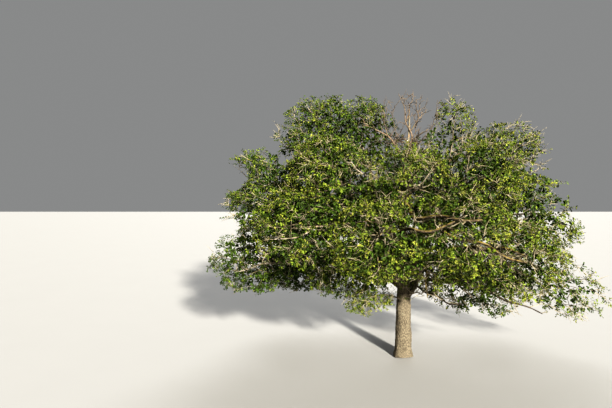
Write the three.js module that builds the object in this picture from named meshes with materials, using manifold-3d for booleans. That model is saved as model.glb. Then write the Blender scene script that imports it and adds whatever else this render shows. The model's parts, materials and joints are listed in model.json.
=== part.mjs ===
// An old open-grown oak: a stout short trunk with a root flare, long low boughs, masses of leafy twigs
// at the boughs' tips, and a dead, bare top above the leader.
// Millimetres, +Z up. The origin is the middle of the flat cut at ground level.
// Seen from the front, +X is to the right and +Y is away. Azimuths turn from +X towards +Y.

import * as THREE from "three";
import { mergeVertices } from "three/addons/utils/BufferGeometryUtils.js";
import Module from "manifold-3d";

const wasm = await Module();
wasm.setup();

// Driving sizes of the trunk
const trunkHeight = 5600;
const trunkFootRadius = 425;
const trunkTopRadius = 225;
const trunkTaperPower = 1.7;
const trunkLean = new THREE.Vector3(60, 40, trunkHeight);
const flareReach = 125;
const flareHeight = 330;
const flareRoots = 5;
const flareLobe = 0.42;
const trunkSides = 16;
const trunkSteps = 9;
const footCrowding = 1.6;
const endCutZone = 60;

// Driving sizes of the limbs, twigs and leaves
const clearance = 0.3;
const weldDistance = 0.001;
const onAxis = 0.001;
const limbClearance = 12;
const handleShare = 0.38;
const crookShare = 0.045;
const collarShare = 0.3;
const collarReach = 1.6;
const stoutLimbRadius = 120;
const limbStepLength = 860;
const stoutSides = 7;
const slenderSides = 6;
const limbTaperPower = 0.8;
const sidewaysSways = 1.5;
const upwardSways = 1.2;
const steepest = 0.9;
const joinShare = 0.9;
const stemShare = 0.3;
const stemSides = 5;
const stemSteps = 2;
const stemTaper = 0.5;
const shootTries = 900;
const shootSkip = 23;
const evenHeights = 0.8191725134;
const evenTurns = 0.6710436067;
const evenDepths = 0.5497004779;
const skinCrowding = 0.2;
const shootInset = 0.42;
const leastInset = 0.3;
const shootSpread = 0.58;
const bareSpread = 380;
const turnCost = 0.5;
const pathCost = 0.25;
const shortestTwig = 260;
const twigRadius = 17;
const twigSink = 0.7;
const twigKink = 0.16;
const widestTwig = 48;
const bladeWidth = 0.74;
const bladeWidest = 0.55;
const bladeThickest = 0.2;
const bladeThickness = 0.026;
const fan = [
  { back: 0.05, turn: 0.12 },
  { back: 0.2, turn: 1.05 },
  { back: 0.32, turn: -1.1 },
  { back: 0.5, turn: 1.15 },
  { back: 0.65, turn: -1.2 },
];
const fanScatter = 0.5;
const fanFlatness = 0.8;
const facingScatter = 1;
const facingUp = 0.2;
const leafedShare = 0.8;
const leafTries = [
  [1, 0], [1, 0.4], [1, -0.4], [0.85, 0], [0.85, 0.7], [0.85, -0.7], [0.72, 0.3], [0.72, -0.3],
];
const leafVariety = 0.25;
const leafRoll = 2;
const cellGap = 6;

// The boughs. Each leaves its parent at a share of the parent's length and ends at a reach from the
// trunk's axis and a height above the ground. rise and fall are the pitches at its two ends, in degrees.
// Each carries a mass of twigs whose space is an ellipsoid: half its length, width and depth, pitched by
// tilt, with so many shoots. leaf is the length of the spray that a leaf stands for.
const limbs = [
  {
    name: "leader", parent: "trunk", at: 1, azimuth: 0, reach: 150, height: 10000,
    rise: 88, fall: 80, base: 205, tip: 70,
    mass: "dead_top", long: 1960, wide: 2050, deep: 1700, tilt: 86, shoots: 12, leaf: 0,
  },
  {
    name: "left_leader", parent: "trunk", at: 0.86, azimuth: 155, reach: 3350, height: 9100,
    rise: 62, fall: 55, base: 180, tip: 62,
    mass: "left_dome", long: 2500, wide: 2700, deep: 2800, tilt: 62, shoots: 8, leaf: 1500,
  },
  {
    name: "right_leader", parent: "trunk", at: 0.9, azimuth: 12, reach: 3850, height: 8350,
    rise: 52, fall: 34, base: 180, tip: 62,
    mass: "right_hump", long: 2500, wide: 2250, deep: 2400, tilt: 36, shoots: 7, leaf: 1500,
  },
  {
    name: "dome_bough", parent: "left_leader", at: 0.5, azimuth: 130, reach: 2400, height: 9950,
    rise: 70, fall: 66, base: 105, tip: 55,
    mass: "back_dome", long: 2000, wide: 2200, deep: 2100, tilt: 70, shoots: 7, leaf: 1350,
  },
  {
    name: "left_upper_bough", parent: "left_leader", at: 0.42, azimuth: 169, reach: 5350, height: 8350,
    rise: 38, fall: 22, base: 115, tip: 50,
    mass: "left_hump", long: 2250, wide: 2200, deep: 1850, tilt: 14, shoots: 7, leaf: 1500,
  },
  {
    name: "left_inner_bough", parent: "left_leader", at: 0.34, azimuth: 208, reach: 2500, height: 8300,
    rise: 45, fall: 20, base: 95, tip: 48,
    mass: "left_inner_crown", long: 2200, wide: 2200, deep: 2000, tilt: 20, shoots: 6, leaf: 1550,
  },
  {
    name: "front_upper_bough", parent: "leader", at: 0.3, azimuth: 262, reach: 1500, height: 7850,
    rise: 42, fall: 22, base: 90, tip: 48,
    mass: "front_crown", long: 2000, wide: 2200, deep: 2000, tilt: 18, shoots: 5, leaf: 1500,
  },
  {
    name: "right_inner_bough", parent: "right_leader", at: 0.4, azimuth: 320, reach: 2300, height: 8300,
    rise: 42, fall: 20, base: 90, tip: 48,
    mass: "right_inner_crown", long: 2050, wide: 2100, deep: 2000, tilt: 18, shoots: 5, leaf: 1500,
  },
  {
    name: "sparse_bough", parent: "right_leader", at: 0.5, azimuth: 355, reach: 2300, height: 9850,
    rise: 70, fall: 80, base: 80, tip: 46,
    mass: "sparse_top", long: 1750, wide: 1100, deep: 1050, tilt: 84, shoots: 5, leaf: 700,
  },
  {
    name: "tip_bough", parent: "leader", at: 0.66, azimuth: 8, reach: 1000, height: 9800,
    rise: 62, fall: 70, base: 60, tip: 36,
    mass: "sparse_middle", long: 1150, wide: 900, deep: 900, tilt: 66, shoots: 3, leaf: 650,
  },
  {
    name: "back_upper_bough", parent: "leader", at: 0.42, azimuth: 68, reach: 2100, height: 8600,
    rise: 42, fall: 20, base: 90, tip: 48,
    mass: "back_crown", long: 2150, wide: 2300, deep: 2000, tilt: 16, shoots: 5, leaf: 1550,
  },
  {
    name: "right_bough", parent: "trunk", at: 0.93, azimuth: 355, reach: 3900, height: 7100,
    rise: 22, fall: 4, base: 165, tip: 58,
    mass: "right_crown", long: 2600, wide: 2300, deep: 2400, tilt: 2, shoots: 6, leaf: 1500,
  },
  {
    name: "right_front_bough", parent: "trunk", at: 0.77, azimuth: 314, reach: 3400, height: 5700,
    rise: 28, fall: -4, base: 130, tip: 52,
    mass: "right_front_skirt", long: 2300, wide: 2200, deep: 1800, tilt: -8, shoots: 6, leaf: 1500,
  },
  {
    name: "front_right_bough", parent: "trunk", at: 0.97, azimuth: 285, reach: 3000, height: 6700,
    rise: 34, fall: 2, base: 130, tip: 52,
    mass: "front_right_crown", long: 2200, wide: 2200, deep: 1800, tilt: -4, shoots: 5, leaf: 1500,
  },
  {
    name: "front_left_bough", parent: "trunk", at: 0.94, azimuth: 247, reach: 3200, height: 6500,
    rise: 30, fall: 0, base: 135, tip: 52,
    mass: "front_left_crown", long: 2250, wide: 2200, deep: 1800, tilt: -6, shoots: 5, leaf: 1500,
  },
  {
    name: "left_front_bough", parent: "trunk", at: 0.83, azimuth: 212, reach: 3900, height: 6650,
    rise: 30, fall: 4, base: 140, tip: 54,
    mass: "left_front_crown", long: 2350, wide: 2200, deep: 1850, tilt: 0, shoots: 5, leaf: 1500,
  },
  {
    name: "left_bough", parent: "trunk", at: 0.9, azimuth: 177, reach: 4800, height: 7200,
    rise: 30, fall: 4, base: 145, tip: 54,
    mass: "left_crown", long: 2350, wide: 2150, deep: 1850, tilt: 2, shoots: 6, leaf: 1500,
  },
  {
    name: "back_left_bough", parent: "trunk", at: 0.86, azimuth: 137, reach: 4500, height: 6800,
    rise: 32, fall: 6, base: 145, tip: 54,
    mass: "back_left_crown", long: 2350, wide: 2350, deep: 1750, tilt: 4, shoots: 6, leaf: 1600,
  },
  {
    name: "back_bough", parent: "trunk", at: 0.95, azimuth: 97, reach: 4300, height: 7200,
    rise: 34, fall: 8, base: 140, tip: 54,
    mass: "back_mid_crown", long: 2350, wide: 2400, deep: 1800, tilt: 6, shoots: 6, leaf: 1600,
  },
  {
    name: "back_right_bough", parent: "trunk", at: 0.86, azimuth: 50, reach: 4500, height: 6950,
    rise: 32, fall: 8, base: 145, tip: 54,
    mass: "back_right_crown", long: 2350, wide: 2350, deep: 1800, tilt: 4, shoots: 6, leaf: 1600,
  },
  {
    name: "right_low_bough", parent: "trunk", at: 0.53, azimuth: 332, reach: 1050, height: 4000,
    rise: 34, fall: -6, base: 125, tip: 50,
    mass: "right_low_skirt", long: 2600, wide: 1900, deep: 1250, tilt: -5, shoots: 5, leaf: 1400,
  },
  {
    name: "right_far_bough", parent: "trunk", at: 0.72, azimuth: 1, reach: 5850, height: 4950,
    rise: 30, fall: -22, base: 165, tip: 54,
    mass: "right_far_skirt", long: 2600, wide: 2500, deep: 1600, tilt: -31, shoots: 6, leaf: 1450,
  },
  {
    name: "back_right_low_bough", parent: "trunk", at: 0.62, azimuth: 38, reach: 4900, height: 4400,
    rise: 26, fall: -14, base: 150, tip: 52,
    mass: "back_right_skirt", long: 2350, wide: 2250, deep: 1350, tilt: -14, shoots: 6, leaf: 1550,
  },
  {
    name: "back_low_bough", parent: "trunk", at: 0.66, azimuth: 86, reach: 4700, height: 4600,
    rise: 26, fall: -12, base: 150, tip: 52,
    mass: "back_skirt", long: 2350, wide: 2300, deep: 1350, tilt: -12, shoots: 6, leaf: 1550,
  },
  {
    name: "back_left_low_bough", parent: "trunk", at: 0.61, azimuth: 134, reach: 4900, height: 4450,
    rise: 26, fall: -14, base: 150, tip: 52,
    mass: "back_left_skirt", long: 2350, wide: 2250, deep: 1350, tilt: -14, shoots: 6, leaf: 1550,
  },
  {
    name: "left_low_bough", parent: "trunk", at: 0.68, azimuth: 181, reach: 5250, height: 5050,
    rise: 24, fall: -8, base: 150, tip: 52,
    mass: "left_skirt", long: 2450, wide: 2200, deep: 1650, tilt: -4, shoots: 6, leaf: 1450,
  },
  {
    name: "left_inner_low_bough", parent: "trunk", at: 0.59, azimuth: 214, reach: 1300, height: 4850,
    rise: 40, fall: 0, base: 105, tip: 46,
    mass: "left_inner_skirt", long: 2400, wide: 1900, deep: 1250, tilt: -4, shoots: 5, leaf: 1350,
  },
  {
    name: "front_low_bough", parent: "trunk", at: 0.64, azimuth: 276, reach: 1500, height: 5000,
    rise: 34, fall: 2, base: 95, tip: 44,
    mass: "front_skirt", long: 1550, wide: 2050, deep: 1150, tilt: -4, shoots: 5, leaf: 1300,
  },
  {
    name: "low_spur", parent: "trunk", at: 0.47, azimuth: 202, reach: 800, height: 3150,
    rise: 34, fall: 8, base: 60, tip: 32,
    mass: "low_spray", long: 1300, wide: 1100, deep: 700, tilt: -6, shoots: 4, leaf: 640,
  },
];

const up = new THREE.Vector3(0, 0, 1);
const radians = THREE.MathUtils.degToRad;
const fraction = (value) => value - Math.floor(value);

// A repeatable random number from 0 to 1
const scatter = (count, seed) => fraction(Math.sin(count * 127.1 + seed * 311.7) * 43758.5453);

const heading = (azimuth, pitch) =>
  new THREE.Vector3(
    Math.cos(radians(pitch)) * Math.cos(radians(azimuth)),
    Math.cos(radians(pitch)) * Math.sin(radians(azimuth)),
    Math.sin(radians(pitch)),
  );

// A limb's centre line: a smooth arc from start to end, made crooked by a slow sway
class LimbCurve extends THREE.Curve {
  constructor(start, leave, end, arrive, seed) {
    super();
    const handle = start.distanceTo(end) * handleShare;
    this.arc = new THREE.CubicBezierCurve3(
      start,
      start.clone().addScaledVector(leave, handle),
      end.clone().addScaledVector(arrive, -handle),
      end,
    );
    const along = end.clone().sub(start).normalize();
    const across = Math.abs(along.z) < steepest ? up : new THREE.Vector3(0, 1, 0);
    this.side = new THREE.Vector3().crossVectors(along, across).normalize();
    this.lift = new THREE.Vector3().crossVectors(this.side, along);
    this.crook = start.distanceTo(end) * crookShare;
    this.phases = [scatter(1, seed), scatter(2, seed)];
  }

  getPoint(t, target = new THREE.Vector3()) {
    this.arc.getPoint(t, target);
    const sway = this.crook * Math.sin(Math.PI * t) ** 2;
    target.addScaledVector(this.side, sway * Math.sin(2 * Math.PI * (sidewaysSways * t + this.phases[0])));
    target.addScaledVector(this.lift, sway * Math.sin(2 * Math.PI * (upwardSways * t + this.phases[1])));
    return target;
  }
}

// A closed cylinder whose vertices are carried onto a curve. radiusAt(share, angle) gives its radius,
// and extra grows it outwards on all sides and at both ends.
function carried(curve, radiusAt, sides, steps, options = {}) {
  const { pointed = false, extra = 0, shareAt = (share) => share, facing } = options;
  const geometry = new THREE.CylinderGeometry(pointed ? 0 : 1, 1, 1, sides, steps);
  const frames = curve.computeFrenetFrames(steps);
  if (facing) {
    frames.tangents.forEach((tangent, i) => {
      frames.binormals[i].crossVectors(tangent, facing).normalize();
      frames.normals[i].crossVectors(frames.binormals[i], tangent);
    });
  }
  const place = geometry.getAttribute("position");
  for (let i = 0; i < place.count; i++) {
    const [x, z] = [place.getX(i), place.getZ(i)];
    const step = Math.round((place.getY(i) + 0.5) * steps);
    const share = shareAt(step / steps);
    const point = curve.getPointAt(share);
    if (step === 0) point.addScaledVector(frames.tangents[0], -extra);
    if (step === steps) point.addScaledVector(frames.tangents[steps], extra);
    if (Math.hypot(x, z) > onAxis && !(pointed && step === steps)) {
      const angle = Math.atan2(z, x);
      const radius = radiusAt(share, angle) + extra;
      point.addScaledVector(frames.normals[step], radius * Math.sin(angle));
      point.addScaledVector(frames.binormals[step], radius * Math.cos(angle));
    }
    place.setXYZ(i, point.x, point.y, point.z);
  }
  return geometry;
}

// A geometry as a solid, whose shared corners are merged
function solidOf(geometry) {
  geometry.deleteAttribute("normal");
  geometry.deleteAttribute("uv");
  const merged = mergeVertices(geometry, weldDistance);
  const solid = new wasm.Manifold(
    new wasm.Mesh({
      numProp: 3,
      vertProperties: merged.getAttribute("position").array,
      triVerts: new Uint32Array(merged.index.array),
    }),
  );
  if (solid.volume() < 0) throw new Error("a limb or leaf is inside out");
  return solid;
}

// The largest body of a solid, with loose scraps and sealed hollows left out
function largest(solid) {
  return solid.decompose().reduce((most, body) => (body.volume() > most.volume() ? body : most));
}

// The trunk, grown outwards by extra
function trunkSolid(extra) {
  const line = new THREE.LineCurve3(new THREE.Vector3(0, 0, 0), trunkLean);
  const radiusAt = (share, angle) => {
    const taper = trunkTopRadius + (trunkFootRadius - trunkTopRadius) * (1 - share ** trunkTaperPower);
    const flare = flareReach * Math.exp((-share * trunkHeight) / flareHeight);
    return taper + flare * (1 + flareLobe * Math.cos(flareRoots * angle));
  };
  const geometry = carried(line, radiusAt, trunkSides, trunkSteps, {
    extra,
    shareAt: (share) => share ** footCrowding,
  });
  // Both end cuts are level
  const place = geometry.getAttribute("position");
  for (let i = 0; i < place.count; i++) {
    const z = place.getZ(i);
    if (Math.abs(z) < endCutZone) place.setZ(i, -extra);
    if (Math.abs(z - trunkHeight) < endCutZone) place.setZ(i, trunkHeight + extra);
  }
  return solidOf(geometry);
}

// Each limb's curve, its radius along it, and the radius of its parent where it leaves
const grown = { trunk: { curve: new THREE.LineCurve3(new THREE.Vector3(), trunkLean) } };
grown.trunk.radiusAt = (share) =>
  trunkTopRadius + (trunkFootRadius - trunkTopRadius) * (1 - share ** trunkTaperPower);

limbs.forEach((limb, index) => {
  const parent = grown[limb.parent];
  const atTop = limb.at === 1;
  const start = parent.curve.getPointAt(limb.at);
  if (atTop) start.z += clearance;
  const end = heading(limb.azimuth, 0).multiplyScalar(limb.reach);
  end.z = limb.height;
  const out = end.clone().sub(start);
  const bearing = atTop ? limb.azimuth : THREE.MathUtils.radToDeg(Math.atan2(out.y, out.x));
  const leave = atTop ? up.clone() : heading(bearing, limb.rise);
  const curve = new LimbCurve(start, leave, end, heading(limb.azimuth, limb.fall), index + 1);
  const length = curve.getLength();
  const buried = atTop ? 0 : parent.radiusAt(limb.at);
  const radiusAt = (share) => {
    const taper = limb.tip + (limb.base - limb.tip) * (1 - share) ** limbTaperPower;
    const collar = atTop ? 0 : Math.exp(-Math.max(0, share * length - buried) / (limb.base * collarReach));
    return taper + limb.base * collarShare * collar;
  };
  grown[limb.name] = { curve, radiusAt, length };
});

function limbSolid(limb, extra) {
  const { curve, radiusAt, length } = grown[limb.name];
  const sides = limb.base >= stoutLimbRadius ? stoutSides : slenderSides;
  const steps = Math.max(4, Math.round(length / limbStepLength));
  return solidOf(carried(curve, radiusAt, sides, steps, { extra }));
}

// The limbs as solids. Each is cut clear of those before it, so that a fork's limbs meet at a seam.
const trunk = trunkSolid(0);
const limbSolids = new Map();
const cutters = [trunkSolid(clearance)];
for (const limb of limbs) {
  const whole = limbSolid(limb, 0);
  const cut = largest(cutters.reduce((left, cutter) => left.subtract(cutter), whole));
  limbSolids.set(limb.name, cut);
  cutters.push(limbSolid(limb, clearance));
}
const keepOut = wasm.Manifold.union([
  trunkSolid(limbClearance),
  ...limbs.map((limb) => limbSolid(limb, limbClearance)),
]);

// The spaces of the masses. A space is an ellipsoid, cut by a plane between it and each neighbour.
const spaces = limbs.map((limb) => {
  const long = heading(limb.azimuth, limb.tilt);
  const wide = new THREE.Vector3(-Math.sin(radians(limb.azimuth)), Math.cos(radians(limb.azimuth)), 0);
  const deep = new THREE.Vector3().crossVectors(long, wide);
  const tip = grown[limb.name].curve.getPoint(1);
  return {
    limb,
    centre: tip.clone().addScaledVector(long, limb.long * joinShare),
    axes: [long, wide, deep],
    halves: [limb.long, limb.wide, limb.deep],
    planes: [],
  };
});

// How far a space reaches from its centre along a direction
const reachOf = (space, way) =>
  1 / Math.hypot(...space.axes.map((axis, i) => axis.dot(way) / space.halves[i]));

for (const space of spaces) {
  for (const other of spaces) {
    if (other === space) continue;
    const normal = other.centre.clone().sub(space.centre);
    const apart = normal.length();
    normal.divideScalar(apart);
    const [mine, theirs] = [reachOf(space, normal), reachOf(other, normal)];
    space.planes.push({ normal, limit: (apart * mine) / (mine + theirs) - cellGap });
  }
}

function holds(space, point) {
  const offset = point.clone().sub(space.centre);
  const level = Math.hypot(...space.axes.map((axis, i) => axis.dot(offset) / space.halves[i]));
  return level < 1 && space.planes.every((plane) => plane.normal.dot(offset) < plane.limit);
}

// The nth of a run of points that fill a ball evenly, crowded towards its skin
function ballPoint(count) {
  const height = 1 - 2 * fraction(0.5 + count * evenHeights);
  const turn = 2 * Math.PI * fraction(0.5 + count * evenTurns);
  const depth = fraction(0.5 + count * evenDepths) ** skinCrowding;
  const ring = Math.sqrt(1 - height * height);
  return new THREE.Vector3(ring * Math.cos(turn), ring * Math.sin(turn), height).multiplyScalar(depth);
}

// A leaf's frame: its root, length, and directions along, across and out of its blade
function leafFrame(root, along, facing, length) {
  const across = new THREE.Vector3().crossVectors(facing, along).normalize();
  return { root, along, across, face: new THREE.Vector3().crossVectors(along, across), length };
}

// A leaf: an eight-faced blade, pointed at both ends, widest at its middle and thickest near its root
function leafSolid({ root, along, across, face, length }) {
  const blade = new THREE.OctahedronGeometry(1, 0);
  const place = blade.getAttribute("position");
  for (let i = 0; i < place.count; i++) {
    const [x, y, z] = [place.getX(i), place.getY(i), place.getZ(i)];
    const run = x !== 0 ? (x + 1) / 2 : y !== 0 ? bladeWidest : bladeThickest;
    const point = root.clone().addScaledVector(along, run * length);
    point.addScaledVector(across, (y * length * bladeWidth) / 2);
    point.addScaledVector(face, (z * length * bladeThickness) / 2);
    place.setXYZ(i, point.x, point.y, point.z);
  }
  return solidOf(blade);
}

function leafFits(space, { root, along, across, length }) {
  const middle = root.clone().addScaledVector(along, bladeWidest * length);
  const half = (length * bladeWidth) / 2;
  return (
    holds(space, root.clone().addScaledVector(along, length)) &&
    [-half, half].every((way) => holds(space, middle.clone().addScaledVector(across, way)))
  );
}

function twigSolid([first, ...rest], from, to, facing, pointed = true) {
  const sunk = first.clone().addScaledVector(rest[0].clone().sub(first).normalize(), -from * twigSink);
  const curve = new THREE.CatmullRomCurve3([sunk, ...rest]);
  const radiusAt = (share) => from + (to - from) * share;
  return solidOf(carried(curve, radiusAt, 3, rest.length, { pointed, facing }));
}

const touches = (solid, others) => others.some((other) => !solid.intersect(other).isEmpty());

// A direction set off by a random amount
function scattered(way, amount, count, seed) {
  const offset = new THREE.Vector3(scatter(count, seed), scatter(count, seed + 1), scatter(count, seed + 2));
  return way.clone().addScaledVector(offset.subScalar(0.5), amount);
}

// Where a mass's shoots end: spread evenly through its space and apart from each other
function shootTips(space, seed) {
  const { limb } = space;
  const spread = limb.leaf > 0 ? limb.leaf * shootSpread : bareSpread;
  const tips = [];
  for (let count = 1; tips.length < limb.shoots && count < shootTries; count++) {
    const ball = ballPoint(count + seed * shootSkip);
    const point = space.centre.clone();
    space.axes.forEach((axis, i) => {
      const half = space.halves[i];
      const inner = Math.max(half * leastInset, half - limb.leaf * shootInset);
      point.addScaledVector(axis, ball.getComponent(i) * inner);
    });
    const apart = tips.every((other) => other.point.distanceTo(point) > spread);
    if (apart && holds(space, point)) tips.push({ point, count });
  }
  return tips;
}

// The place that a new twig leaves from: near, along its bearing, and not far out on the branches
function bestRoot(nodes, point) {
  const costs = nodes.slice(1).map((node) => {
    const way = point.clone().sub(node.point);
    const turn = 1 - way.dot(node.way) / way.length();
    return way.length() * (1 + turnCost * turn) + pathCost * node.path;
  });
  return 1 + costs.indexOf(Math.min(...costs));
}

// Grows one mass: a stem on from the bough's tip, then a twig to each shoot in turn, the nearest first,
// with a fan of leaves along it that faces mostly outwards. What would leave the space, touch a limb or
// cross what is there is left out.
function growMass(space, seed) {
  const { limb } = space;
  const { curve } = grown[limb.name];
  const onward = curve.getTangent(1);
  const start = curve.getPoint(1).addScaledVector(onward, clearance);
  const end = space.centre.clone().addScaledVector(space.axes[0], limb.long * stemShare);
  const bend = start.clone().addScaledVector(onward, start.distanceTo(end) / 2);
  const stem = new THREE.QuadraticBezierCurve3(start, bend, end);
  const stemRadius = (share) => limb.tip * (1 - stemTaper * share);
  const stemSolid = solidOf(carried(stem, stemRadius, stemSides, stemSteps));
  const nodes = stem.getPoints(stemSteps).map((point, i) => ({
    point,
    way: stem.getTangent(i / stemSteps),
    path: (stem.getLength() * i) / stemSteps,
    from: i - 1,
    shoots: 0,
  }));
  const twigs = [];
  const leaves = [];

  // Adds a leaf at a place on the newest twig, turned and made smaller until it fits
  const addLeaf = (base, forward, side, facing, count, { turn }, order) => {
    const grownBefore = [keepOut, stemSolid, ...leaves, ...twigs.slice(0, -1).map((twig) => twig.solid)];
    const face = scattered(facing, leafRoll, count + order, 51);
    const fullLength = limb.leaf * (1 + leafVariety * (scatter(count, 41 + order) - 0.5));
    for (const [size, swing] of leafTries) {
      const angle = turn + (scatter(count, 31 + order) - 0.5) * fanScatter + swing;
      const along = forward.clone().multiplyScalar(Math.cos(angle)).addScaledVector(side, Math.sin(angle));
      const leaf = leafFrame(base, along, face, fullLength * size);
      if (!leafFits(space, leaf)) continue;
      const solid = leafSolid(leaf);
      if (touches(solid, grownBefore)) continue;
      leaves.push(solid);
      return;
    }
  };

  const tips = shootTips(space, seed).sort((a, b) => a.point.distanceTo(start) - b.point.distanceTo(start));
  for (const { point, count } of tips) {
    const nearest = bestRoot(nodes, point);
    const root = nodes[nearest];
    const length = root.point.distanceTo(point);
    if (length < shortestTwig) continue;
    const middle = scattered(root.point.clone().lerp(point, 0.5), length * twigKink, count, 11);
    const facing = scattered(point.clone().sub(space.centre).normalize(), facingScatter, count, 21);
    facing.addScaledVector(up, facingUp).normalize();
    const twig = twigSolid([root.point, middle, point], widestTwig, twigRadius, facing);
    const apart = twigs.filter((other) => ![other.first, other.middle, other.tail].includes(nearest));
    const obstacles = [keepOut, ...leaves, ...apart.map((other) => other.solid)];
    if (!holds(space, middle) || touches(twig, obstacles)) continue;

    const [near, far] = [middle.clone().sub(root.point).normalize(), point.clone().sub(middle).normalize()];
    const [first, tail] = [nearest, nodes.length + 1];
    nodes.push({ point: middle, way: near, path: root.path + length / 2, from: first, shoots: 0 });
    nodes.push({ point, way: far, path: root.path + length, from: tail - 1, shoots: 0 });
    twigs.push({ first, middle: tail - 1, tail, facing, solid: twig });
    for (let at = tail; at >= 0; at = nodes[at].from) nodes[at].shoots += 1;
    if (limb.leaf === 0) continue;

    const forward = far.clone().addScaledVector(facing, -fanFlatness * far.dot(facing)).normalize();
    const side = new THREE.Vector3().crossVectors(facing, forward).normalize();
    fan.forEach((place, order) => {
      const back = place.back * limb.leaf;
      if (back > length * leafedShare) return;
      const onFar = back < length / 2;
      const base = onFar ? point.clone() : middle.clone();
      base.addScaledVector(onFar ? far : near, onFar ? -back : length / 2 - back);
      addLeaf(base, forward, side, facing, count, place, order);
    });
  }

  const pieces = twigs.map(({ first, middle, tail, facing }) => {
    const points = [first, middle, tail].map((at) => nodes[at].point);
    const radiusOf = (at) => Math.min(widestTwig, twigRadius * Math.sqrt(nodes[at].shoots));
    return twigSolid(points, radiusOf(middle), radiusOf(tail), facing, nodes[tail].shoots === 1);
  });
  return largest(wasm.Manifold.union([stemSolid, ...pieces, ...leaves]));
}

const colours = {
  bark: { color: 0x8c7a66, roughness: 0.92 },
  limb: { color: 0x6f6350, roughness: 0.92 },
  deadWood: { color: 0xa4927a, roughness: 0.9 },
  leafOlive: { color: 0x6c7c2e, roughness: 0.62 },
  leafGreen: { color: 0x4f6a24, roughness: 0.6 },
  leafDark: { color: 0x3d571f, roughness: 0.6 },
};
const materials = Object.fromEntries(
  Object.entries(colours).map(([name, look]) => [
    name,
    new THREE.MeshStandardMaterial({ ...look, metalness: 0 }),
  ]),
);

// A solid as a named mesh, placed at a point of its own
function meshOf(name, solid, origin, material) {
  const { numProp, vertProperties, triVerts } = solid.getMesh();
  const places = new Float32Array((vertProperties.length / numProp) * 3);
  for (let i = 0; i < places.length / 3; i++) {
    places.set(vertProperties.subarray(i * numProp, i * numProp + 3), i * 3);
  }
  const geometry = new THREE.BufferGeometry();
  geometry.setAttribute("position", new THREE.BufferAttribute(places, 3));
  geometry.setIndex(new THREE.BufferAttribute(triVerts, 1));
  geometry.translate(-origin.x, -origin.y, -origin.z);
  geometry.computeVertexNormals();
  const mesh = new THREE.Mesh(geometry, material);
  mesh.name = name;
  mesh.position.copy(origin);
  return mesh;
}

const wholeMillimetres = (point) => point.clone().round();

const boughs = new THREE.Group();
for (const limb of limbs) {
  const origin = wholeMillimetres(grown[limb.name].curve.getPoint(0));
  boughs.add(meshOf(limb.name, limbSolids.get(limb.name), origin, materials.limb));
}

const crown = new THREE.Group();
spaces.forEach((space, index) => {
  const { limb } = space;
  const tint = [materials.leafGreen, materials.leafOlive, materials.leafDark][index % 3];
  const material = limb.leaf > 0 ? tint : materials.deadWood;
  const origin = wholeMillimetres(grown[limb.name].curve.getPoint(1));
  crown.add(meshOf(limb.mass, growMass(space, index + 1), origin, material));
});

const oak = new THREE.Group();
oak.add(meshOf("trunk", trunk, new THREE.Vector3(), materials.bark), boughs, crown);

export default oak;
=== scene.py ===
import json
import math

import bpy
import numpy as np
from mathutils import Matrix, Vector, noise

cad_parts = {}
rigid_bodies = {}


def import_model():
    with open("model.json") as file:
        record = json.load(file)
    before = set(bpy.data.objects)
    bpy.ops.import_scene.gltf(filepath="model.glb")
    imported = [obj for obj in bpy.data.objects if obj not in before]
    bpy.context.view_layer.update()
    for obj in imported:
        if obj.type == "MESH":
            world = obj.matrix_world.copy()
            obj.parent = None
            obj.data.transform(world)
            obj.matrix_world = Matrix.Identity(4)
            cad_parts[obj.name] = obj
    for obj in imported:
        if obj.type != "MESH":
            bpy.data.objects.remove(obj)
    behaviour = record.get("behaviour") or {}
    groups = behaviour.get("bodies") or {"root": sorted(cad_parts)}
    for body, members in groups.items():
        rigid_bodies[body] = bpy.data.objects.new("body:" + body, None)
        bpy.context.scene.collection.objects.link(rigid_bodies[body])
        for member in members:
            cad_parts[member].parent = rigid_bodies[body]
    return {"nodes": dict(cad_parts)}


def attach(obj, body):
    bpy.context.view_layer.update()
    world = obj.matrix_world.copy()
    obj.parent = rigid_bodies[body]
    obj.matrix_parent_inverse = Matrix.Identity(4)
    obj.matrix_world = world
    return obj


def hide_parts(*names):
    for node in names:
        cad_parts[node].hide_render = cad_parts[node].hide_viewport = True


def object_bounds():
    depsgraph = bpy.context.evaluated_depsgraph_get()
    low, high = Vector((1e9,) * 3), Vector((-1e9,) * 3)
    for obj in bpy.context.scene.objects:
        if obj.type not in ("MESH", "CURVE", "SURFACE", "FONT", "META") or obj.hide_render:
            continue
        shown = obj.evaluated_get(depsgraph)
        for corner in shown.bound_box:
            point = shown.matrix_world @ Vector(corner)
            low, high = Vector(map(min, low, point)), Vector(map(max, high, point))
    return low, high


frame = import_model()
cadBox = [list(corner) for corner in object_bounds()]
print("frame in place")

milli = 0.001  # the tables of limbs and masses are in millimetres, everything else in metres

trunkForm = {
    "height": 5.6, "lean": (0.06, 0.04), "footRadius": 0.425, "topRadius": 0.225, "taper": 1.7,
    "flareReach": 0.125, "flareHeight": 0.33, "roots": 5,
}


def readTable(table):
    # The rows of a table whose first line names its columns
    columns, *lines = [line.split() for line in table.strip().splitlines()]
    rows = [dict(zip(columns, line)) for line in lines]
    return [{key: float(cell) if cell[-1].isdigit() else cell for key, cell in row.items()} for row in rows]


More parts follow.
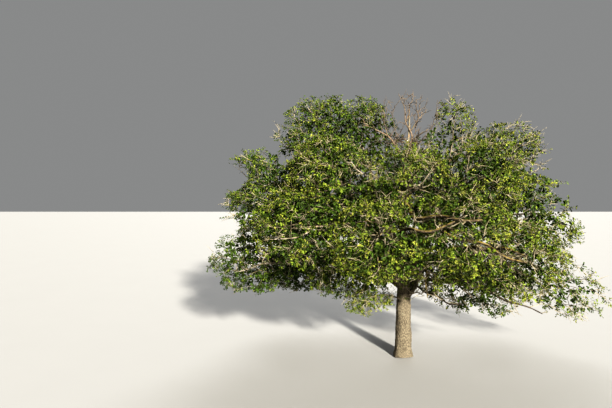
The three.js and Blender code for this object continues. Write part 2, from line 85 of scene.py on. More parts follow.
# One line a limb: what it leaves and where along it, where it ends (azimuth, reach, height), its pitches at
# both ends, and its radii
limbs = readTable("""
name parent at azimuth reach height rise fall base tip
leader trunk 1 0 150 10000 88 80 205 70
left_leader trunk 0.86 155 3350 9100 62 55 180 62
right_leader trunk 0.9 12 3850 8350 52 34 180 62
dome_bough left_leader 0.5 130 2400 9950 70 66 105 55
left_upper_bough left_leader 0.42 169 5350 8350 38 22 115 50
left_inner_bough left_leader 0.34 208 2500 8300 45 20 95 48
front_upper_bough leader 0.3 262 1500 7850 42 22 90 48
right_inner_bough right_leader 0.4 320 2300 8300 42 20 90 48
sparse_bough right_leader 0.5 355 2300 9850 70 80 80 46
tip_bough leader 0.66 8 1000 9800 62 70 60 36
back_upper_bough leader 0.42 68 2100 8600 42 20 90 48
right_bough trunk 0.93 355 3900 7100 22 4 165 58
right_front_bough trunk 0.77 314 3400 5700 28 -4 130 52
front_right_bough trunk 0.97 285 3000 6700 34 2 130 52
front_left_bough trunk 0.94 247 3200 6500 30 0 135 52
left_front_bough trunk 0.83 212 3900 6650 30 4 140 54
left_bough trunk 0.9 177 4800 7200 30 4 145 54
back_left_bough trunk 0.86 137 4500 6800 32 6 145 54
back_bough trunk 0.95 97 4300 7200 34 8 140 54
back_right_bough trunk 0.86 50 4500 6950 32 8 145 54
right_low_bough trunk 0.53 332 1050 4000 34 -6 125 50
right_far_bough trunk 0.72 1 5850 4950 30 -22 165 54
back_right_low_bough trunk 0.62 38 4900 4400 26 -14 150 52
back_low_bough trunk 0.66 86 4700 4600 26 -12 150 52
back_left_low_bough trunk 0.61 134 4900 4450 26 -14 150 52
left_low_bough trunk 0.68 181 5250 5050 24 -8 150 52
left_inner_low_bough trunk 0.59 214 1300 4850 40 0 105 46
front_low_bough trunk 0.64 276 1500 5000 34 2 95 44
low_spur trunk 0.47 202 800 3150 34 8 60 32
""")

# The mass of twigs that each of these limbs carries: half its length, width and depth, its tilt, its shoots
# of the first order, the length of a leafy spray, how full of leaves it is, and its mix of greens, which
# paints light into the leaves: mostly near-black greens as painted shade, brighter ones as painted sunlight
massRows = readTable("""
mass long wide deep tilt shoots leaf full greens
dead_top 1960 2050 1700 86 12 0 0 sunlit
left_dome 2500 2700 2800 62 8 1500 1 shaded
right_hump 2500 2250 2400 36 7 1500 0.9 sunlit
back_dome 2000 2200 2100 70 7 1350 1 shaded
left_hump 2250 2200 1850 14 7 1500 1 shaded
left_inner_crown 2200 2200 2000 20 6 1550 1 mixed
front_crown 2000 2200 2000 18 5 1500 0.9 sunlit
right_inner_crown 2050 2100 2000 18 5 1500 0.9 sunlit
sparse_top 1750 1100 1050 84 5 700 0.72 sunlit
sparse_middle 1150 900 900 66 3 650 0.7 sunlit
back_crown 2150 2300 2000 16 5 1550 0.95 mixed
right_crown 2600 2300 2400 2 6 1500 1 sunlit
right_front_skirt 2300 2200 1800 -8 6 1500 0.88 sunlit
front_right_crown 2200 2200 1800 -4 5 1500 0.9 sunlit
front_left_crown 2250 2200 1800 -6 5 1500 0.95 sunlit
left_front_crown 2350 2200 1850 0 5 1500 1 mixed
left_crown 2350 2150 1850 2 6 1500 1 shaded
back_left_crown 2350 2750 1750 4 6 1600 1 shaded
back_mid_crown 2350 2700 1800 6 6 1600 1 mixed
back_right_crown 2350 2750 1800 4 6 1600 0.95 mixed
right_low_skirt 2600 1900 1250 -5 5 1400 1 dark
right_far_skirt 2600 2500 1600 -31 6 1450 0.5 sunlit
back_right_skirt 2400 3000 1450 -14 6 1550 0.9 mixed
back_skirt 2400 2950 1450 -12 6 1550 0.9 shaded
back_left_skirt 2400 3000 1450 -14 6 1550 0.95 shaded
left_skirt 2450 2200 1650 -4 6 1450 1 dark
left_inner_skirt 2400 1900 1250 -4 5 1350 0.95 shaded
front_skirt 1550 2050 1150 -4 5 1300 0.95 mixed
low_spray 1300 1100 700 -6 4 640 0.9 yellow
""")
for limb, row in zip(limbs, massRows):
    limb.update(row)
    for size in "reach height base tip long wide deep leaf".split():
        limb[size] *= milli

up = np.array([0.0, 0.0, 1.0])


def scatter(count, seed):
    # A repeatable random number from 0 to 1
    return (math.sin(count * 127.1 + seed * 311.7) * 43758.5453) % 1.0


def heading(azimuth, pitch):
    a, p = math.radians(azimuth), math.radians(pitch)
    return np.array([math.cos(p) * math.cos(a), math.cos(p) * math.sin(a), math.sin(p)])


def unit(ways):
    ways = np.asarray(ways, float)
    return ways / np.maximum(np.linalg.norm(ways, axis=-1, keepdims=True), 1e-9)


class LimbLine:
    # A limb's centre line: a smooth arc from start to end, made crooked by a slow sway
    handleShare, crookShare, swayTurns, steps = 0.38, 0.045, (1.5, 1.2), 200

    def __init__(self, start, leave, end, arrive, seed):
        far = np.linalg.norm(end - start)
        self.poles = [start, start + leave * far * self.handleShare,
                      end - arrive * far * self.handleShare, end]
        along = unit(end - start)
        across = up if abs(along[2]) < 0.9 else np.array([0.0, 1.0, 0.0])
        self.side = unit(np.cross(along, across))
        self.lift = np.cross(self.side, along)
        self.crook = far * self.crookShare
        self.phases = [scatter(1, seed), scatter(2, seed)]
        self.shares = np.linspace(0, 1, self.steps + 1)
        run = self.point(self.shares)
        self.lengths = np.concatenate([[0], np.cumsum(np.linalg.norm(np.diff(run, axis=0), axis=1))])
        self.length = self.lengths[-1]

    def point(self, t):
        t = np.atleast_1d(t)[:, None]
        a, b, c, d = self.poles
        place = a * (1 - t) ** 3 + 3 * b * t * (1 - t) ** 2 + 3 * c * t * t * (1 - t) + d * t ** 3
        sway = self.crook * np.sin(np.pi * t) ** 2
        swings = [2 * np.pi * (turns * t + phase) for turns, phase in zip(self.swayTurns, self.phases)]
        return place + self.side * sway * np.sin(swings[0]) + self.lift * sway * np.sin(swings[1])

    def at(self, shares):
        # Places at shares of the length
        return self.point(np.interp(np.atleast_1d(shares) * self.length, self.lengths, self.shares))


class TrunkLine:
    def __init__(self, top):
        self.top, self.length = top, np.linalg.norm(top)

    def at(self, shares):
        return np.atleast_1d(shares)[:, None] * self.top


trunkTop = np.array([*trunkForm["lean"], trunkForm["height"]])


def trunkRadius(share):
    spare = trunkForm["footRadius"] - trunkForm["topRadius"]
    return trunkForm["topRadius"] + spare * (1 - share ** trunkForm["taper"])


grown = {"trunk": {"line": TrunkLine(trunkTop), "radius": trunkRadius}}
limbTaper = {"power": 0.8, "collar": 0.3, "collarReach": 1.6}


def growLimb(limb, leave, end, arrive, seed):
    # Works out a limb's line and its radius along it, with a collar where it leaves its parent
    parent, atTop = grown[limb["parent"]], limb["at"] == 1
    line = LimbLine(parent["line"].at(limb["at"])[0], leave, end, arrive, seed)
    buried = 0 if atTop else float(parent["radius"](limb["at"]))
    collar = 0 if atTop else limbTaper["collar"]

    def limbRadius(share):
        taper = limb["tip"] + (limb["base"] - limb["tip"]) * (1 - share) ** limbTaper["power"]
        out = np.maximum(0, share * line.length - buried) / (limb["base"] * limbTaper["collarReach"])
        return taper + limb["base"] * collar * np.exp(-out)

    grown[limb["name"]] = {"line": line, "radius": limbRadius, "buried": buried}


for seed, limb in enumerate(limbs, 1):
    start = grown[limb["parent"]]["line"].at(limb["at"])[0]
    end = heading(limb["azimuth"], 0) * limb["reach"] + up * limb["height"]
    bearing = math.degrees(math.atan2(end[1] - start[1], end[0] - start[0]))
    leave = up if limb["at"] == 1 else heading(bearing, limb["rise"])
    growLimb(limb, leave, end, heading(limb["azimuth"], limb["fall"]), seed)

# Old limbs that show between the leaves: what each leaves and where along it, the azimuth and pitch at
# which it leaves, where it ends and at which azimuth and pitch, its radii, its bark, how many bare twigs
# stand on it, and the mass that it stands in
oldLimbs = readTable("""
name parent at leaveTurn leavePitch endX endY endZ endTurn endPitch base tip bark twigs mass
arch_left leader 0.985 175 50 -2.1 -0.2 11.67 180 6 0.078 0.014 topBark 9 dead_top
arch_right leader 0.96 15 62 1.2 -0.3 11.36 0 8 0.085 0.024 shadedBark 5 dead_top
spar_left leader 1 0 70 -0.21 0.2 13.37 160 66 0.058 0.009 topBark 6 dead_top
spar_tall spar_left 0.55 0 72 0.53 0.1 13.52 90 86 0.034 0.008 topBark 4 dead_top
spar_right spar_left 0.4 0 42 0.66 0.0 13.06 90 86 0.038 0.01 boughBark 4 dead_top
spar_short spar_right 0.4 0 25 0.98 -0.1 12.4 20 60 0.024 0.007 topBark 4 dead_top
spar_far_left arch_left 0.5 150 66 -1.14 0.1 12.7 150 55 0.024 0.007 topBark 5 dead_top
rusty_spar sparse_bough 1 0 30 3.32 -0.2 10.8 0 35 0.05 0.02 mossyBark 4 sparse_top
pale_upper left_inner_bough 1 275 20 -3.02 -3.5 9.59 200 42 0.055 0.014 deadBark 8 left_inner_crown
pale_middle front_upper_bough 1 300 38 0.44 -4.2 9.37 0 65 0.04 0.01 deadBark 6 front_crown
mossy_arm front_upper_bough 0.97 268 -24 1.95 -5.7 7.08 350 5 0.11 0.05 mossyBark 6 front_right_crown
mossy_fork front_left_bough 0.96 292 0 0.9 -5.6 7.03 20 20 0.08 0.04 mossyBark 2 front_left_crown
left_arm front_left_bough 1 235 4 -2.6 -5.2 7.05 170 10 0.06 0.02 mossyBark 6 front_left_crown
right_arm right_front_bough 1 285 10 4.0 -5.0 5.55 0 -25 0.1 0.045 mossyBark 6 right_front_skirt
right_under_arm front_right_bough 1 300 -16 4.1 -4.8 5.3 5 -12 0.09 0.04 mossyBark 6 front_right_crown
drooping_arm right_front_bough 0.92 305 0 5.2 -3.6 3.55 10 -42 0.05 0.01 deadBark 11 right_front_skirt
hanging_arm front_low_bough 1 285 12 0.3 -3.7 3.65 280 -80 0.055 0.02 mossyBark 5 front_skirt
low_stub right_low_bough 0.6 310 -20 2.2 -2.4 3.15 0 4 0.06 0.034 shadedBark 3 right_low_skirt
low_arm right_low_bough 1 325 -2 6.0 -2.2 2.62 0 -30 0.1 0.024 shadedBark 10 right_low_skirt
bare_spray trunk 0.54 325 24 0.95 -1.5 3.75 0 46 0.042 0.014 deadBark 9 front_skirt
trunk_fork trunk 0.5 335 48 1.0 -0.8 4.9 10 60 0.12 0.07 trunkBark 2 right_low_skirt
grey_arm left_front_bough 1 232 4 -6.4 -4.1 6.2 182 -4 0.055 0.014 deadBark 9 left_front_crown
left_low_arm left_low_bough 1 215 -4 -8.3 -1.8 4.5 185 -8 0.05 0.014 deadBark 9 left_skirt
""")
for seed, old in enumerate(oldLimbs, len(limbs) + 1):
    leave, arrive = heading(old["leaveTurn"], old["leavePitch"]), heading(old["endTurn"], old["endPitch"])
    growLimb(old, leave, np.array([old["endX"], old["endY"], old["endZ"]]), arrive, seed)

# Points along every limb, with the radius there, that twigs keep clear of, and along the old limbs alone
limbStations, oldStations = np.linspace(0, 1, 60), np.linspace(0.05, 1, 60)
limbPoints = np.concatenate([grown[name]["line"].at(limbStations) for name in grown])
limbRadii = np.concatenate([grown[name]["radius"](limbStations) for name in grown])
oldPoints = np.concatenate([grown[old["name"]]["line"].at(oldStations) for old in oldLimbs])

# The spaces of the masses: ellipsoids, cut by a plane between each and its neighbours
massSeat, cellGap = 0.9, 0.006
spaces = []
for limb in limbs:
    long = heading(limb["azimuth"], limb["tilt"])
    wide = heading(limb["azimuth"] + 90, 0)
    tip = grown[limb["name"]]["line"].at(1)[0]
    spaces.append({
        "limb": limb, "centre": tip + long * limb["long"] * massSeat,
        "axes": np.array([long, wide, np.cross(long, wide)]),
        "halves": np.array([limb["long"], limb["wide"], limb["deep"]]),
    })


def reachOf(space, way):
    return 1 / np.linalg.norm(space["axes"] @ way / space["halves"])


for space in spaces:
    space["normals"], space["limits"] = [], []
    for other in spaces:
        if other is not space:
            apart = other["centre"] - space["centre"]
            way = unit(apart)
            mine, theirs = reachOf(space, way), reachOf(other, way)
            space["normals"].append(way)
            space["limits"].append(np.linalg.norm(apart) * mine / (mine + theirs) - cellGap)
    space["normals"], space["limits"] = np.array(space["normals"]), np.array(space["limits"])


def levelIn(space, points, slack=0.0):
    # How far out points lie: 0 at a space's centre, 1 at its skin
    offset = np.atleast_2d(points) - space["centre"]
    return np.linalg.norm(offset @ space["axes"].T / (space["halves"] + slack), axis=1)


def holds(space, points, slack=0.0):
    # Which points lie in a space, or no more than slack outside it
    offset = np.atleast_2d(points) - space["centre"]
    own = (offset @ space["normals"].T < space["limits"] + slack).all(axis=1)
    return own & (levelIn(space, points, slack) < 1)


crown = {"heart": np.array([0.0, 0.0, 6.0]), "skin": 0.6, "reachShare": 0.018, "level": 0.4}
boxLow, boxHigh = np.array(cadBox)
boxSpare = (boxHigh - boxLow) * crown["reachShare"]


def outwards(points):
    # The ways out of the crown, mostly level
    return unit((points - crown["heart"]) * (1, 1, crown["level"]))


# Hollows in the crown where open air shows: the place and half sizes of each
hollows = [
    ((8.4, -0.8, 8.15), (1.25, 4.5, 1.35)),
    ((7.2, -0.8, 9.5), (0.7, 4.0, 0.8)),
    ((-8.85, 0.0, 9.2), (1.0, 3.5, 0.9)),
    ((-5.95, 0.0, 10.15), (0.6, 3.5, 0.45)),
    ((-8.9, -1.0, 6.6), (0.75, 3.5, 0.35)),
    ((8.3, -1.2, 4.6), (0.8, 3.0, 0.5)),
    ((-0.5, -2.6, 4.0), (1.1, 1.6, 0.5)),
]


def inHollow(points):
    inside = np.zeros(points.shape[:-1], bool)
    for place, halves in hollows:
        inside |= (((points - place) / halves) ** 2).sum(axis=-1) < 1
    return inside


def inReach(points):
    # Which points keep to the box of the solids and the little that leaves may stand out of it
    return ((points > boxLow - boxSpare) & (points < boxHigh + boxSpare)).all(axis=-1)


def covered(points):
    # Which points have more crown outside them
    beyond = points + unit(points - crown["heart"]) * crown["skin"]
    return np.any([holds(space, beyond) for space in spaces], axis=0)


evenHeights, evenTurns, evenDepths = 0.8191725134, 0.6710436067, 0.5497004779


def ballPoints(counts, crowding):
    # A run of points that fill a ball evenly, or crowded towards its skin
    heights = 1 - 2 * ((0.5 + counts * evenHeights) % 1)
    turns = 2 * np.pi * ((0.5 + counts * evenTurns) % 1)
    depths = ((0.5 + counts * evenDepths) % 1) ** crowding
    rings = np.sqrt(1 - heights ** 2)
    return np.stack([rings * np.cos(turns), rings * np.sin(turns), heights], axis=1) * depths[:, None]


def spaced(points, spreads, before):
    # The numbers of the points that keep their spread from all those taken before them
    places = np.zeros((len(before) + len(points), 3))
    places[:len(before)] = np.reshape(before, (-1, 3))
    count, chosen = len(before), []
    for number, (point, spread) in enumerate(zip(points, spreads)):
        if not count or ((places[:count] - point) ** 2).sum(axis=1).min() > spread * spread:
            places[count] = point
            count += 1
            chosen.append(number)
    return chosen


growth = {
    "shootSkip": 23, "shootTries": 900, "crowding": 0.2, "spread": 0.58, "bareSpread": 0.38,
    "inset": 0.42, "leastInset": 0.3, "fineSkip": 977, "fineTries": 9000, "fineCrowding": 0.34,
    "fineInset": -0.06, "spill": 0.06, "runSpill": 0.11, "stragglers": 0.07, "skinMost": 0.93,
    "skinSpread": 0.288, "heartSpread": 0.52, "fullPower": 0.4, "deadSpread": 0.5, "deadTips": 46,
    "deadEvery": 40, "leafyBelow": 11.1, "baySize": (1.15, 1.15, 0.65), "bayLevel": 0.76,
    "bayDepth": 0.85, "bayThinning": 0.35, "gapSize": 1.1, "gapLevel": -0.3, "gapThinning": 0.25,
    "turnCost": 0.5, "pathCost": 0.25, "shortestTwig": 0.16, "kink": 0.1, "swing": 0.2,
    "nodeStep": 0.24, "bow": 0.34, "clear": 0.05, "tipRadius": 0.0055, "deadRadius": 0.0085,
    "widest": 0.062, "nearTip": 0.995, "stemSteps": 8, "stemReach": 0.3, "stemBow": 0.5, "stemTaper": 0.5,
    "thickening": 1.25, "mostJoints": 6000, "bareShare": 0.15, "bareThinning": 0.35, "sleeveFrom": 0.45,
    "sleeveShare": 0.35, "sleevePerMetre": 8.0, "sleeveLean": 0.7, "sleeveReach": (0.4, 1.15),
    "sleeveFloor": 2.4, "sleeveClear": 0.12, "orderStep": 300,
}
draws = {"swing": 11, "kink": 31, "kinkStep": 7, "straggler": 51, "sleeve": 61, "bare": 71}


def inSpace(space, balls, inset, spill=0.0):
    inner = np.maximum(space["halves"] * growth["leastInset"], space["halves"] - inset)
    points = space["centre"] + (balls * inner) @ space["axes"]
    return points[holds(space, points, spill)]


def shootTips(space, seed):
    # Where a mass's shoots end: first the coarse ones, then finer ones between them
    limb, g = space["limb"], growth
    counts = np.arange(1, g["shootTries"]) + seed * g["shootSkip"]
    points = inSpace(space, ballPoints(counts, g["crowding"]), limb["leaf"] * g["inset"])
    spread = limb["leaf"] * g["spread"] if limb["leaf"] else g["bareSpread"]
    coarse = points[spaced(points, np.full(len(points), spread), [])[:int(limb["shoots"])]]
    counts = np.arange(1, g["fineTries"]) + seed * g["fineSkip"]
    points = inSpace(space, ballPoints(counts, g["fineCrowding"]), g["fineInset"], g["spill"])
    if not limb["leaf"]:
        low = points[:, 2] < g["leafyBelow"]
        points = points[low | (np.arange(len(points)) % g["deadEvery"] == 0)]
        chosen = spaced(points, np.full(len(points), g["deadSpread"]), coarse)
        return coarse, points[chosen[:g["deadTips"]]]
    level = g["gapLevel"] - g["gapThinning"] * (1 - limb["full"])
    leafy = np.array([noise.noise(Vector(point / g["gapSize"] + seed)) for point in points]) > level
    bays = np.array([noise.noise(Vector(point / g["baySize"])) for point in points])
    within = covered(points)
    skin = g["bayLevel"] - g["bayThinning"] * (1 - limb["full"]) + g["bayDepth"] * bays
    skin = np.minimum(skin, g["skinMost"])
    luck = np.array([scatter(count, seed + draws["straggler"]) for count in range(len(points))])
    skin += luck < g["stragglers"]
    leafy &= (within | (levelIn(space, points) < skin)) & ~inHollow(points)
    points, within = points[leafy], within[leafy]
    spreads = np.where(within, g["heartSpread"], g["skinSpread"]) / limb["full"] ** g["fullPower"]
    return coarse, points[spaced(points, spreads, coarse)]


def arc(root, way, tip, bow, steps):
    # A run of points from root to tip that leaves towards way, without the root itself
    middle = root + way * np.linalg.norm(tip - root) * bow
    t = np.linspace(0, 1, steps + 1)[1:, None]
    return root * (1 - t) ** 2 + 2 * middle * t * (1 - t) + tip * t * t


def frameAlong(line, share, nudge=0.01):
    # The way along a line, to its side and up from it
    along = unit(line.at(min(1, share + nudge))[0] - line.at(share - nudge)[0])
    side = unit(np.cross(along, up + nudge))
    return along, side, np.cross(side, along)


def sleeveTips(line, seed, limb):
    # Where the short shoots along a bough's outer part leave it and end
    g, pairs = growth, []
    first = min(g["sleeveFrom"], line.length * g["sleeveShare"])
    spare = line.length - first
    near, far = g["sleeveReach"]
    for count in range(round(spare * g["sleevePerMetre"] * limb["full"])):
        shift, roll, stretch = [scatter(count, seed + draws["sleeve"] + turn) for turn in range(3)]
        share = (first + spare * shift) / line.length
        place = line.at(share)[0]
        along, side, lift = frameAlong(line, share)
        turn = 2 * math.pi * roll
        way = unit(along * g["sleeveLean"] + side * math.cos(turn) + lift * math.sin(turn))
        tip = place + way * (near + (far - near) * stretch)
        gaps = np.linalg.norm(tip - limbPoints, axis=1) - limbRadii
        if tip[2] > g["sleeveFloor"] and gaps.min() > g["sleeveClear"]:
            pairs.append((place, along, tip))
    return pairs


def jolt(count, seed):
    # A small repeatable step, from -0.5 to 0.5 each way
    return np.array([scatter(count, seed + axis) - 0.5 for axis in range(3)])


class Joints:
    # The joints of a mass's twigs: place, way onward, wood back to the bough, joint before, twigs carried
    def __init__(self):
        most = growth["mostJoints"]
        self.place, self.way, self.path = np.zeros((most, 3)), np.zeros((most, 3)), np.zeros(most)
        self.before, self.load, self.count = np.full(most, -1), np.zeros(most, int), 0

    def add(self, place, way, path, before):
        at = self.count
        self.place[at], self.way[at], self.path[at], self.before[at] = place, way, path, before
        self.count += 1
        return at

    def addRun(self, first, run, length):
        # Joints on from the joint called first, each before the next; gives all their numbers
        chain, last, start = [first], self.place[first], self.path[first]
        for step, place in enumerate(run, 1):
            chain.append(self.add(place, unit(place - last), start + length * step / len(run), chain[-1]))
            last = place
        return chain

    def bear(self, at):
        while at >= 0:
            self.load[at] += 1
            at = self.before[at]

    def nearest(self, point):
        # The joint past the stem's foot from which a twig to point costs least
        ways = point - self.place[2:self.count]
        far = np.maximum(np.linalg.norm(ways, axis=1), 1e-6)
        turns = 1 - np.einsum("ij,ij->i", ways, self.way[2:self.count]) / far
        cost = far * (1 + growth["turnCost"] * turns) + growth["pathCost"] * self.path[2:self.count]
        best = int(np.argmin(cost))
        return best + 2, far[best]


def growMass(space, seed):
    # A stem on from the bough's tip, then a crooked twig to each shoot, the nearest first
    limb, g, joints, twigs = space["limb"], growth, Joints(), []

    def addTwig(root, run, path, tip, order):
        chain = joints.addRun(root, run, path)
        joints.bear(chain[-1])
        twigs.append({"chain": chain, "tip": tip, "order": order})

    line = grown[limb["name"]]["line"]
    start = line.at(1)[0]
    onward = unit(start - line.at(g["nearTip"])[0])
    end = space["centre"] + space["axes"][0] * limb["long"] * g["stemReach"]
    stemRun = arc(start, onward, end, g["stemBow"], g["stemSteps"])
    stem = joints.addRun(joints.add(start, onward, 0, -1), stemRun, np.linalg.norm(end - start))
    for order, tips in enumerate(shootTips(space, seed)):
        for count, tip in enumerate(sorted(tips, key=lambda point: np.linalg.norm(point - start))):
            number = count + g["orderStep"] * order
            root, length = joints.nearest(tip)
            if length < g["shortestTwig"]:
                continue
            steps = max(2, math.ceil(length / g["nodeStep"]))
            way = joints.way[root] + jolt(number, seed + draws["swing"]) * g["swing"] / g["bow"]
            run = arc(joints.place[root], way, tip, g["bow"], steps)
            for step in range(1, steps + 1):
                kink = jolt(number, seed + draws["kink"] + step * draws["kinkStep"]) * g["kink"]
                run[step - 1] += kink * min(length, 1) * math.sin(math.pi * step / steps)
            gaps = np.linalg.norm(run[:, None] - limbPoints[None], axis=2) - limbRadii
            inside = holds(space, run, g["runSpill"]).all() and inReach(run).all()
            if inside and gaps.min() > g["clear"]:
                addTwig(root, run, length, tip, order)
    if limb["leaf"]:
        for root, along, tip in sleeveTips(line, seed, limb):
            steps = max(2, math.ceil(np.linalg.norm(tip - root) / g["nodeStep"]))
            addTwig(joints.add(root, along, 0, -1), arc(root, along, tip, g["bow"], steps), 0, tip, 2)
    within = covered(np.array([twig["tip"] for twig in twigs]))
    for count, twig in enumerate(twigs):
        twig["covered"] = within[count]
        fine = twig["order"] == 1 and (not within[count] or not limb["leaf"])
        high = not limb["leaf"] and (not fine or twig["tip"][2] > g["leafyBelow"])
        bareShare = g["bareShare"] + g["bareThinning"] * (1 - limb["full"])
        twig["bare"] = high or (fine and scatter(count, seed + draws["bare"]) < bareShare)
    thin = g["tipRadius"] if limb["leaf"] else g["deadRadius"]
    joints.radius = np.minimum(g["widest"], thin * np.sqrt(np.maximum(joints.load, 1)) * g["thickening"])
    return {"space": space, "joints": joints, "stem": stem, "twigs": twigs}


# Meshes from arrays, for the many small things
def meshFromArrays(name, points, triangles, smooth):
    mesh = bpy.data.meshes.new(name)
    mesh.vertices.add(len(points))
    mesh.vertices.foreach_set("co", np.asarray(points, np.float32).ravel())
    mesh.loops.add(triangles.size)
    mesh.loops.foreach_set("vertex_index", triangles.astype(np.int32).ravel())
    mesh.polygons.add(len(triangles))
    mesh.polygons.foreach_set("loop_start", np.arange(len(triangles), dtype=np.int32) * 3)
    mesh.polygons.foreach_set("use_smooth", np.full(len(triangles), smooth))
    mesh.update(calc_edges=True)
    piece = bpy.data.objects.new(name, mesh)
    bpy.context.scene.collection.objects.link(piece)
    return piece


def tubes(paths, radii, sides):
    # Tubes along paths (count, points, 3), each pointed at its far end and closed at its near one
    count, rings = paths.shape[:2]
    along = unit(np.gradient(paths, axis=1))
    facing = unit(rng.normal(size=(count, 3)))
    across = unit(np.cross(along, facing[:, None]))
    out = np.cross(across, along)
    turns = np.arange(sides) * 2 * np.pi / sides
    ring = (across[:, :-1, None] * np.cos(turns)[:, None] + out[:, :-1, None] * np.sin(turns)[:, None])
    body = paths[:, :-1, None] + ring * radii[:, :-1, None, None]
    points = np.concatenate([body.reshape(count, -1, 3), paths[:, -1:]], axis=1)
    faces = []
    tip = (rings - 1) * sides
    for first in range(0, (rings - 2) * sides, sides):
        for side in range(sides):
            a, b = first + side, first + (side + 1) % sides
            faces += [(a, b + sides, b), (a, a + sides, b + sides)]
    for side in range(sides):
        faces.append((tip - sides + side, tip, tip - sides + (side + 1) % sides))
    for side in range(1, sides - 1):
        faces.append((0, side, side + 1))
    faces = np.array(faces)[None] + (np.arange(count) * points.shape[1])[:, None, None]
    return points.reshape(-1, 3), faces.reshape(-1, 3)


def joined(parts):
    points, faces, base = [], [], 0
    for partPoints, partFaces in parts:
        points.append(partPoints)
        faces.append(partFaces + base)
        base += len(partPoints)
    return np.concatenate(points), np.concatenate(faces)


rng = np.random.default_rng(41)
masses = [growMass(space, seed) for seed, space in enumerate(spaces, 1)]
print("masses grown:", sum(len(mass["twigs"]) for mass in masses), "twigs")

branchForm = {
    "stemSides": 8, "branchSides": 5, "twigSides": 3, "stoutLoad": 6, "collar": 1.15, "deadRoot": 0.019,
    "deadTip": 0.01, "stemEnd": 0.6, "stemBack": 0.06, "mostBack": 0.8,
}


def stemTube(mass):
    # The stem, which starts a little back inside its bough
    joints, tip = mass["joints"], mass["space"]["limb"]["tip"]
    points = joints.place[mass["stem"]]
    radii = np.append(tip, np.linspace(tip, tip * (1 - growth["stemTaper"]), len(points)))
    radii[-1] *= branchForm["stemEnd"]
    points = np.vstack([points[0] - joints.way[0] * branchForm["stemBack"], points])
    return tubes(points[None], radii[None], branchForm["stemSides"])


def twigTubes(mass, bare):
    # A mass's leafy twigs, or its bare ones, as tubes
    joints, groups, parts = mass["joints"], {}, []
    for twig in mass["twigs"]:
        if twig["bare"] == bare:
            stout = joints.load[twig["chain"][1]] >= branchForm["stoutLoad"]
            groups.setdefault((len(twig["chain"]), stout), []).append(twig["chain"])
    for (length, stout), chains in sorted(groups.items()):
        radii = joints.radius[np.array(chains)]
        radii[:, 0] = radii[:, 1] * branchForm["collar"]
        if bare:
            radii = np.maximum(radii, np.linspace(branchForm["deadRoot"], branchForm["deadTip"], length))
        sides = branchForm["branchSides"] if stout else branchForm["twigSides"]
        parts.append(tubes(joints.place[np.array(chains)], radii, sides))
    return parts


def backAlong(points, back):
    # A place some way back from the end of a polyline
    runs = np.linalg.norm(np.diff(points, axis=0), axis=1)[::-1]
    reach = np.concatenate([[0], np.cumsum(runs)])
    back = min(back, reach[-1] * branchForm["mostBack"])
    return np.array([np.interp(back, reach, points[::-1, axis]) for axis in range(3)])


def rootsAlong(joints, twigs, backs):
    return np.array([[backAlong(joints.place[twig["chain"]], back) for back in backs] for twig in twigs])


def crooked(roots, ways, lengths, steps, kink):
    # Runs of points that wander on from their roots (count, steps + 1, 3)
    runs, at, way = [roots], roots, ways
    for step in range(steps):
        way = unit(way + rng.normal(size=way.shape) * kink)
        at = at + way * (lengths / steps)[:, None]
        runs.append(at)
    return np.stack(runs, axis=1)


turnVariety = 0.3


def fanned(form, ends, side):
    # Ways that turn from the ends to each side (count, kinds, 3)
    variety = rng.uniform(-turnVariety, turnVariety, (len(ends), len(form["turns"])))
    turns = form["turns"] + variety
    return ends[:, None] * np.cos(turns)[..., None] + side[:, None] * np.sin(turns)[..., None]


# Bare shoots near the tips of the bare twigs, crooked and pale
bareForm = {
    "backs": (0.0, 0.12, 0.26, 0.42, 0.6), "turns": (0.15, 0.85, -0.95, 1.0, -0.9),
    "lengths": (0.42, 0.32, 0.42, 0.48, 0.44), "variety": (0.6, 1.35), "steps": 3, "kink": 0.26,
    "outward": 0.5, "radii": (0.0125, 0.0105, 0.008, 0.004),
}


def bareShoots(mass):
    form, joints = bareForm, mass["joints"]
    twigs = [twig for twig in mass["twigs"] if twig["bare"]]
    if not twigs:
        return []
    roots = rootsAlong(joints, twigs, form["backs"]).reshape(-1, 3)
    ends = joints.way[[twig["chain"][-1] for twig in twigs]]
    facing = unit(rng.normal(size=(len(twigs), 3)) + up)
    ways = fanned(form, ends, unit(np.cross(facing, ends))).reshape(-1, 3)
    ways = unit(ways + outwards(roots) * form["outward"])
    lengths = form["lengths"] * rng.uniform(*form["variety"], (len(twigs), len(form["backs"])))
    runs = crooked(roots, ways, lengths.ravel(), form["steps"], form["kink"])
    runs = runs[inReach(runs).all(axis=1)]
    return [tubes(runs, np.tile(form["radii"], (len(runs), 1)), 3)]


# Bare twigs that stand along the old limbs, on alternate sides, and their own side shoots
oldTwigForm = {
    "from": 0.22, "last": 0.99, "stagger": (0.1, 0.9), "lengths": (0.45, 1.1), "longest": 1.15,
    "shortening": 0.4, "steps": 5, "kink": 0.2, "forward": 0.6, "lean": 0.75, "rise": 0.4, "stray": 0.25,
    "rootShare": 0.5, "stoutest": 0.024, "thinnest": 0.006, "shootAt": (2, 3, 4),
    "shootLengths": (0.18, 0.42), "shootSteps": 3, "shootStray": 0.6, "shootKink": 0.3,
    "shootRadii": (0.0115, 0.0095, 0.007, 0.004),
}


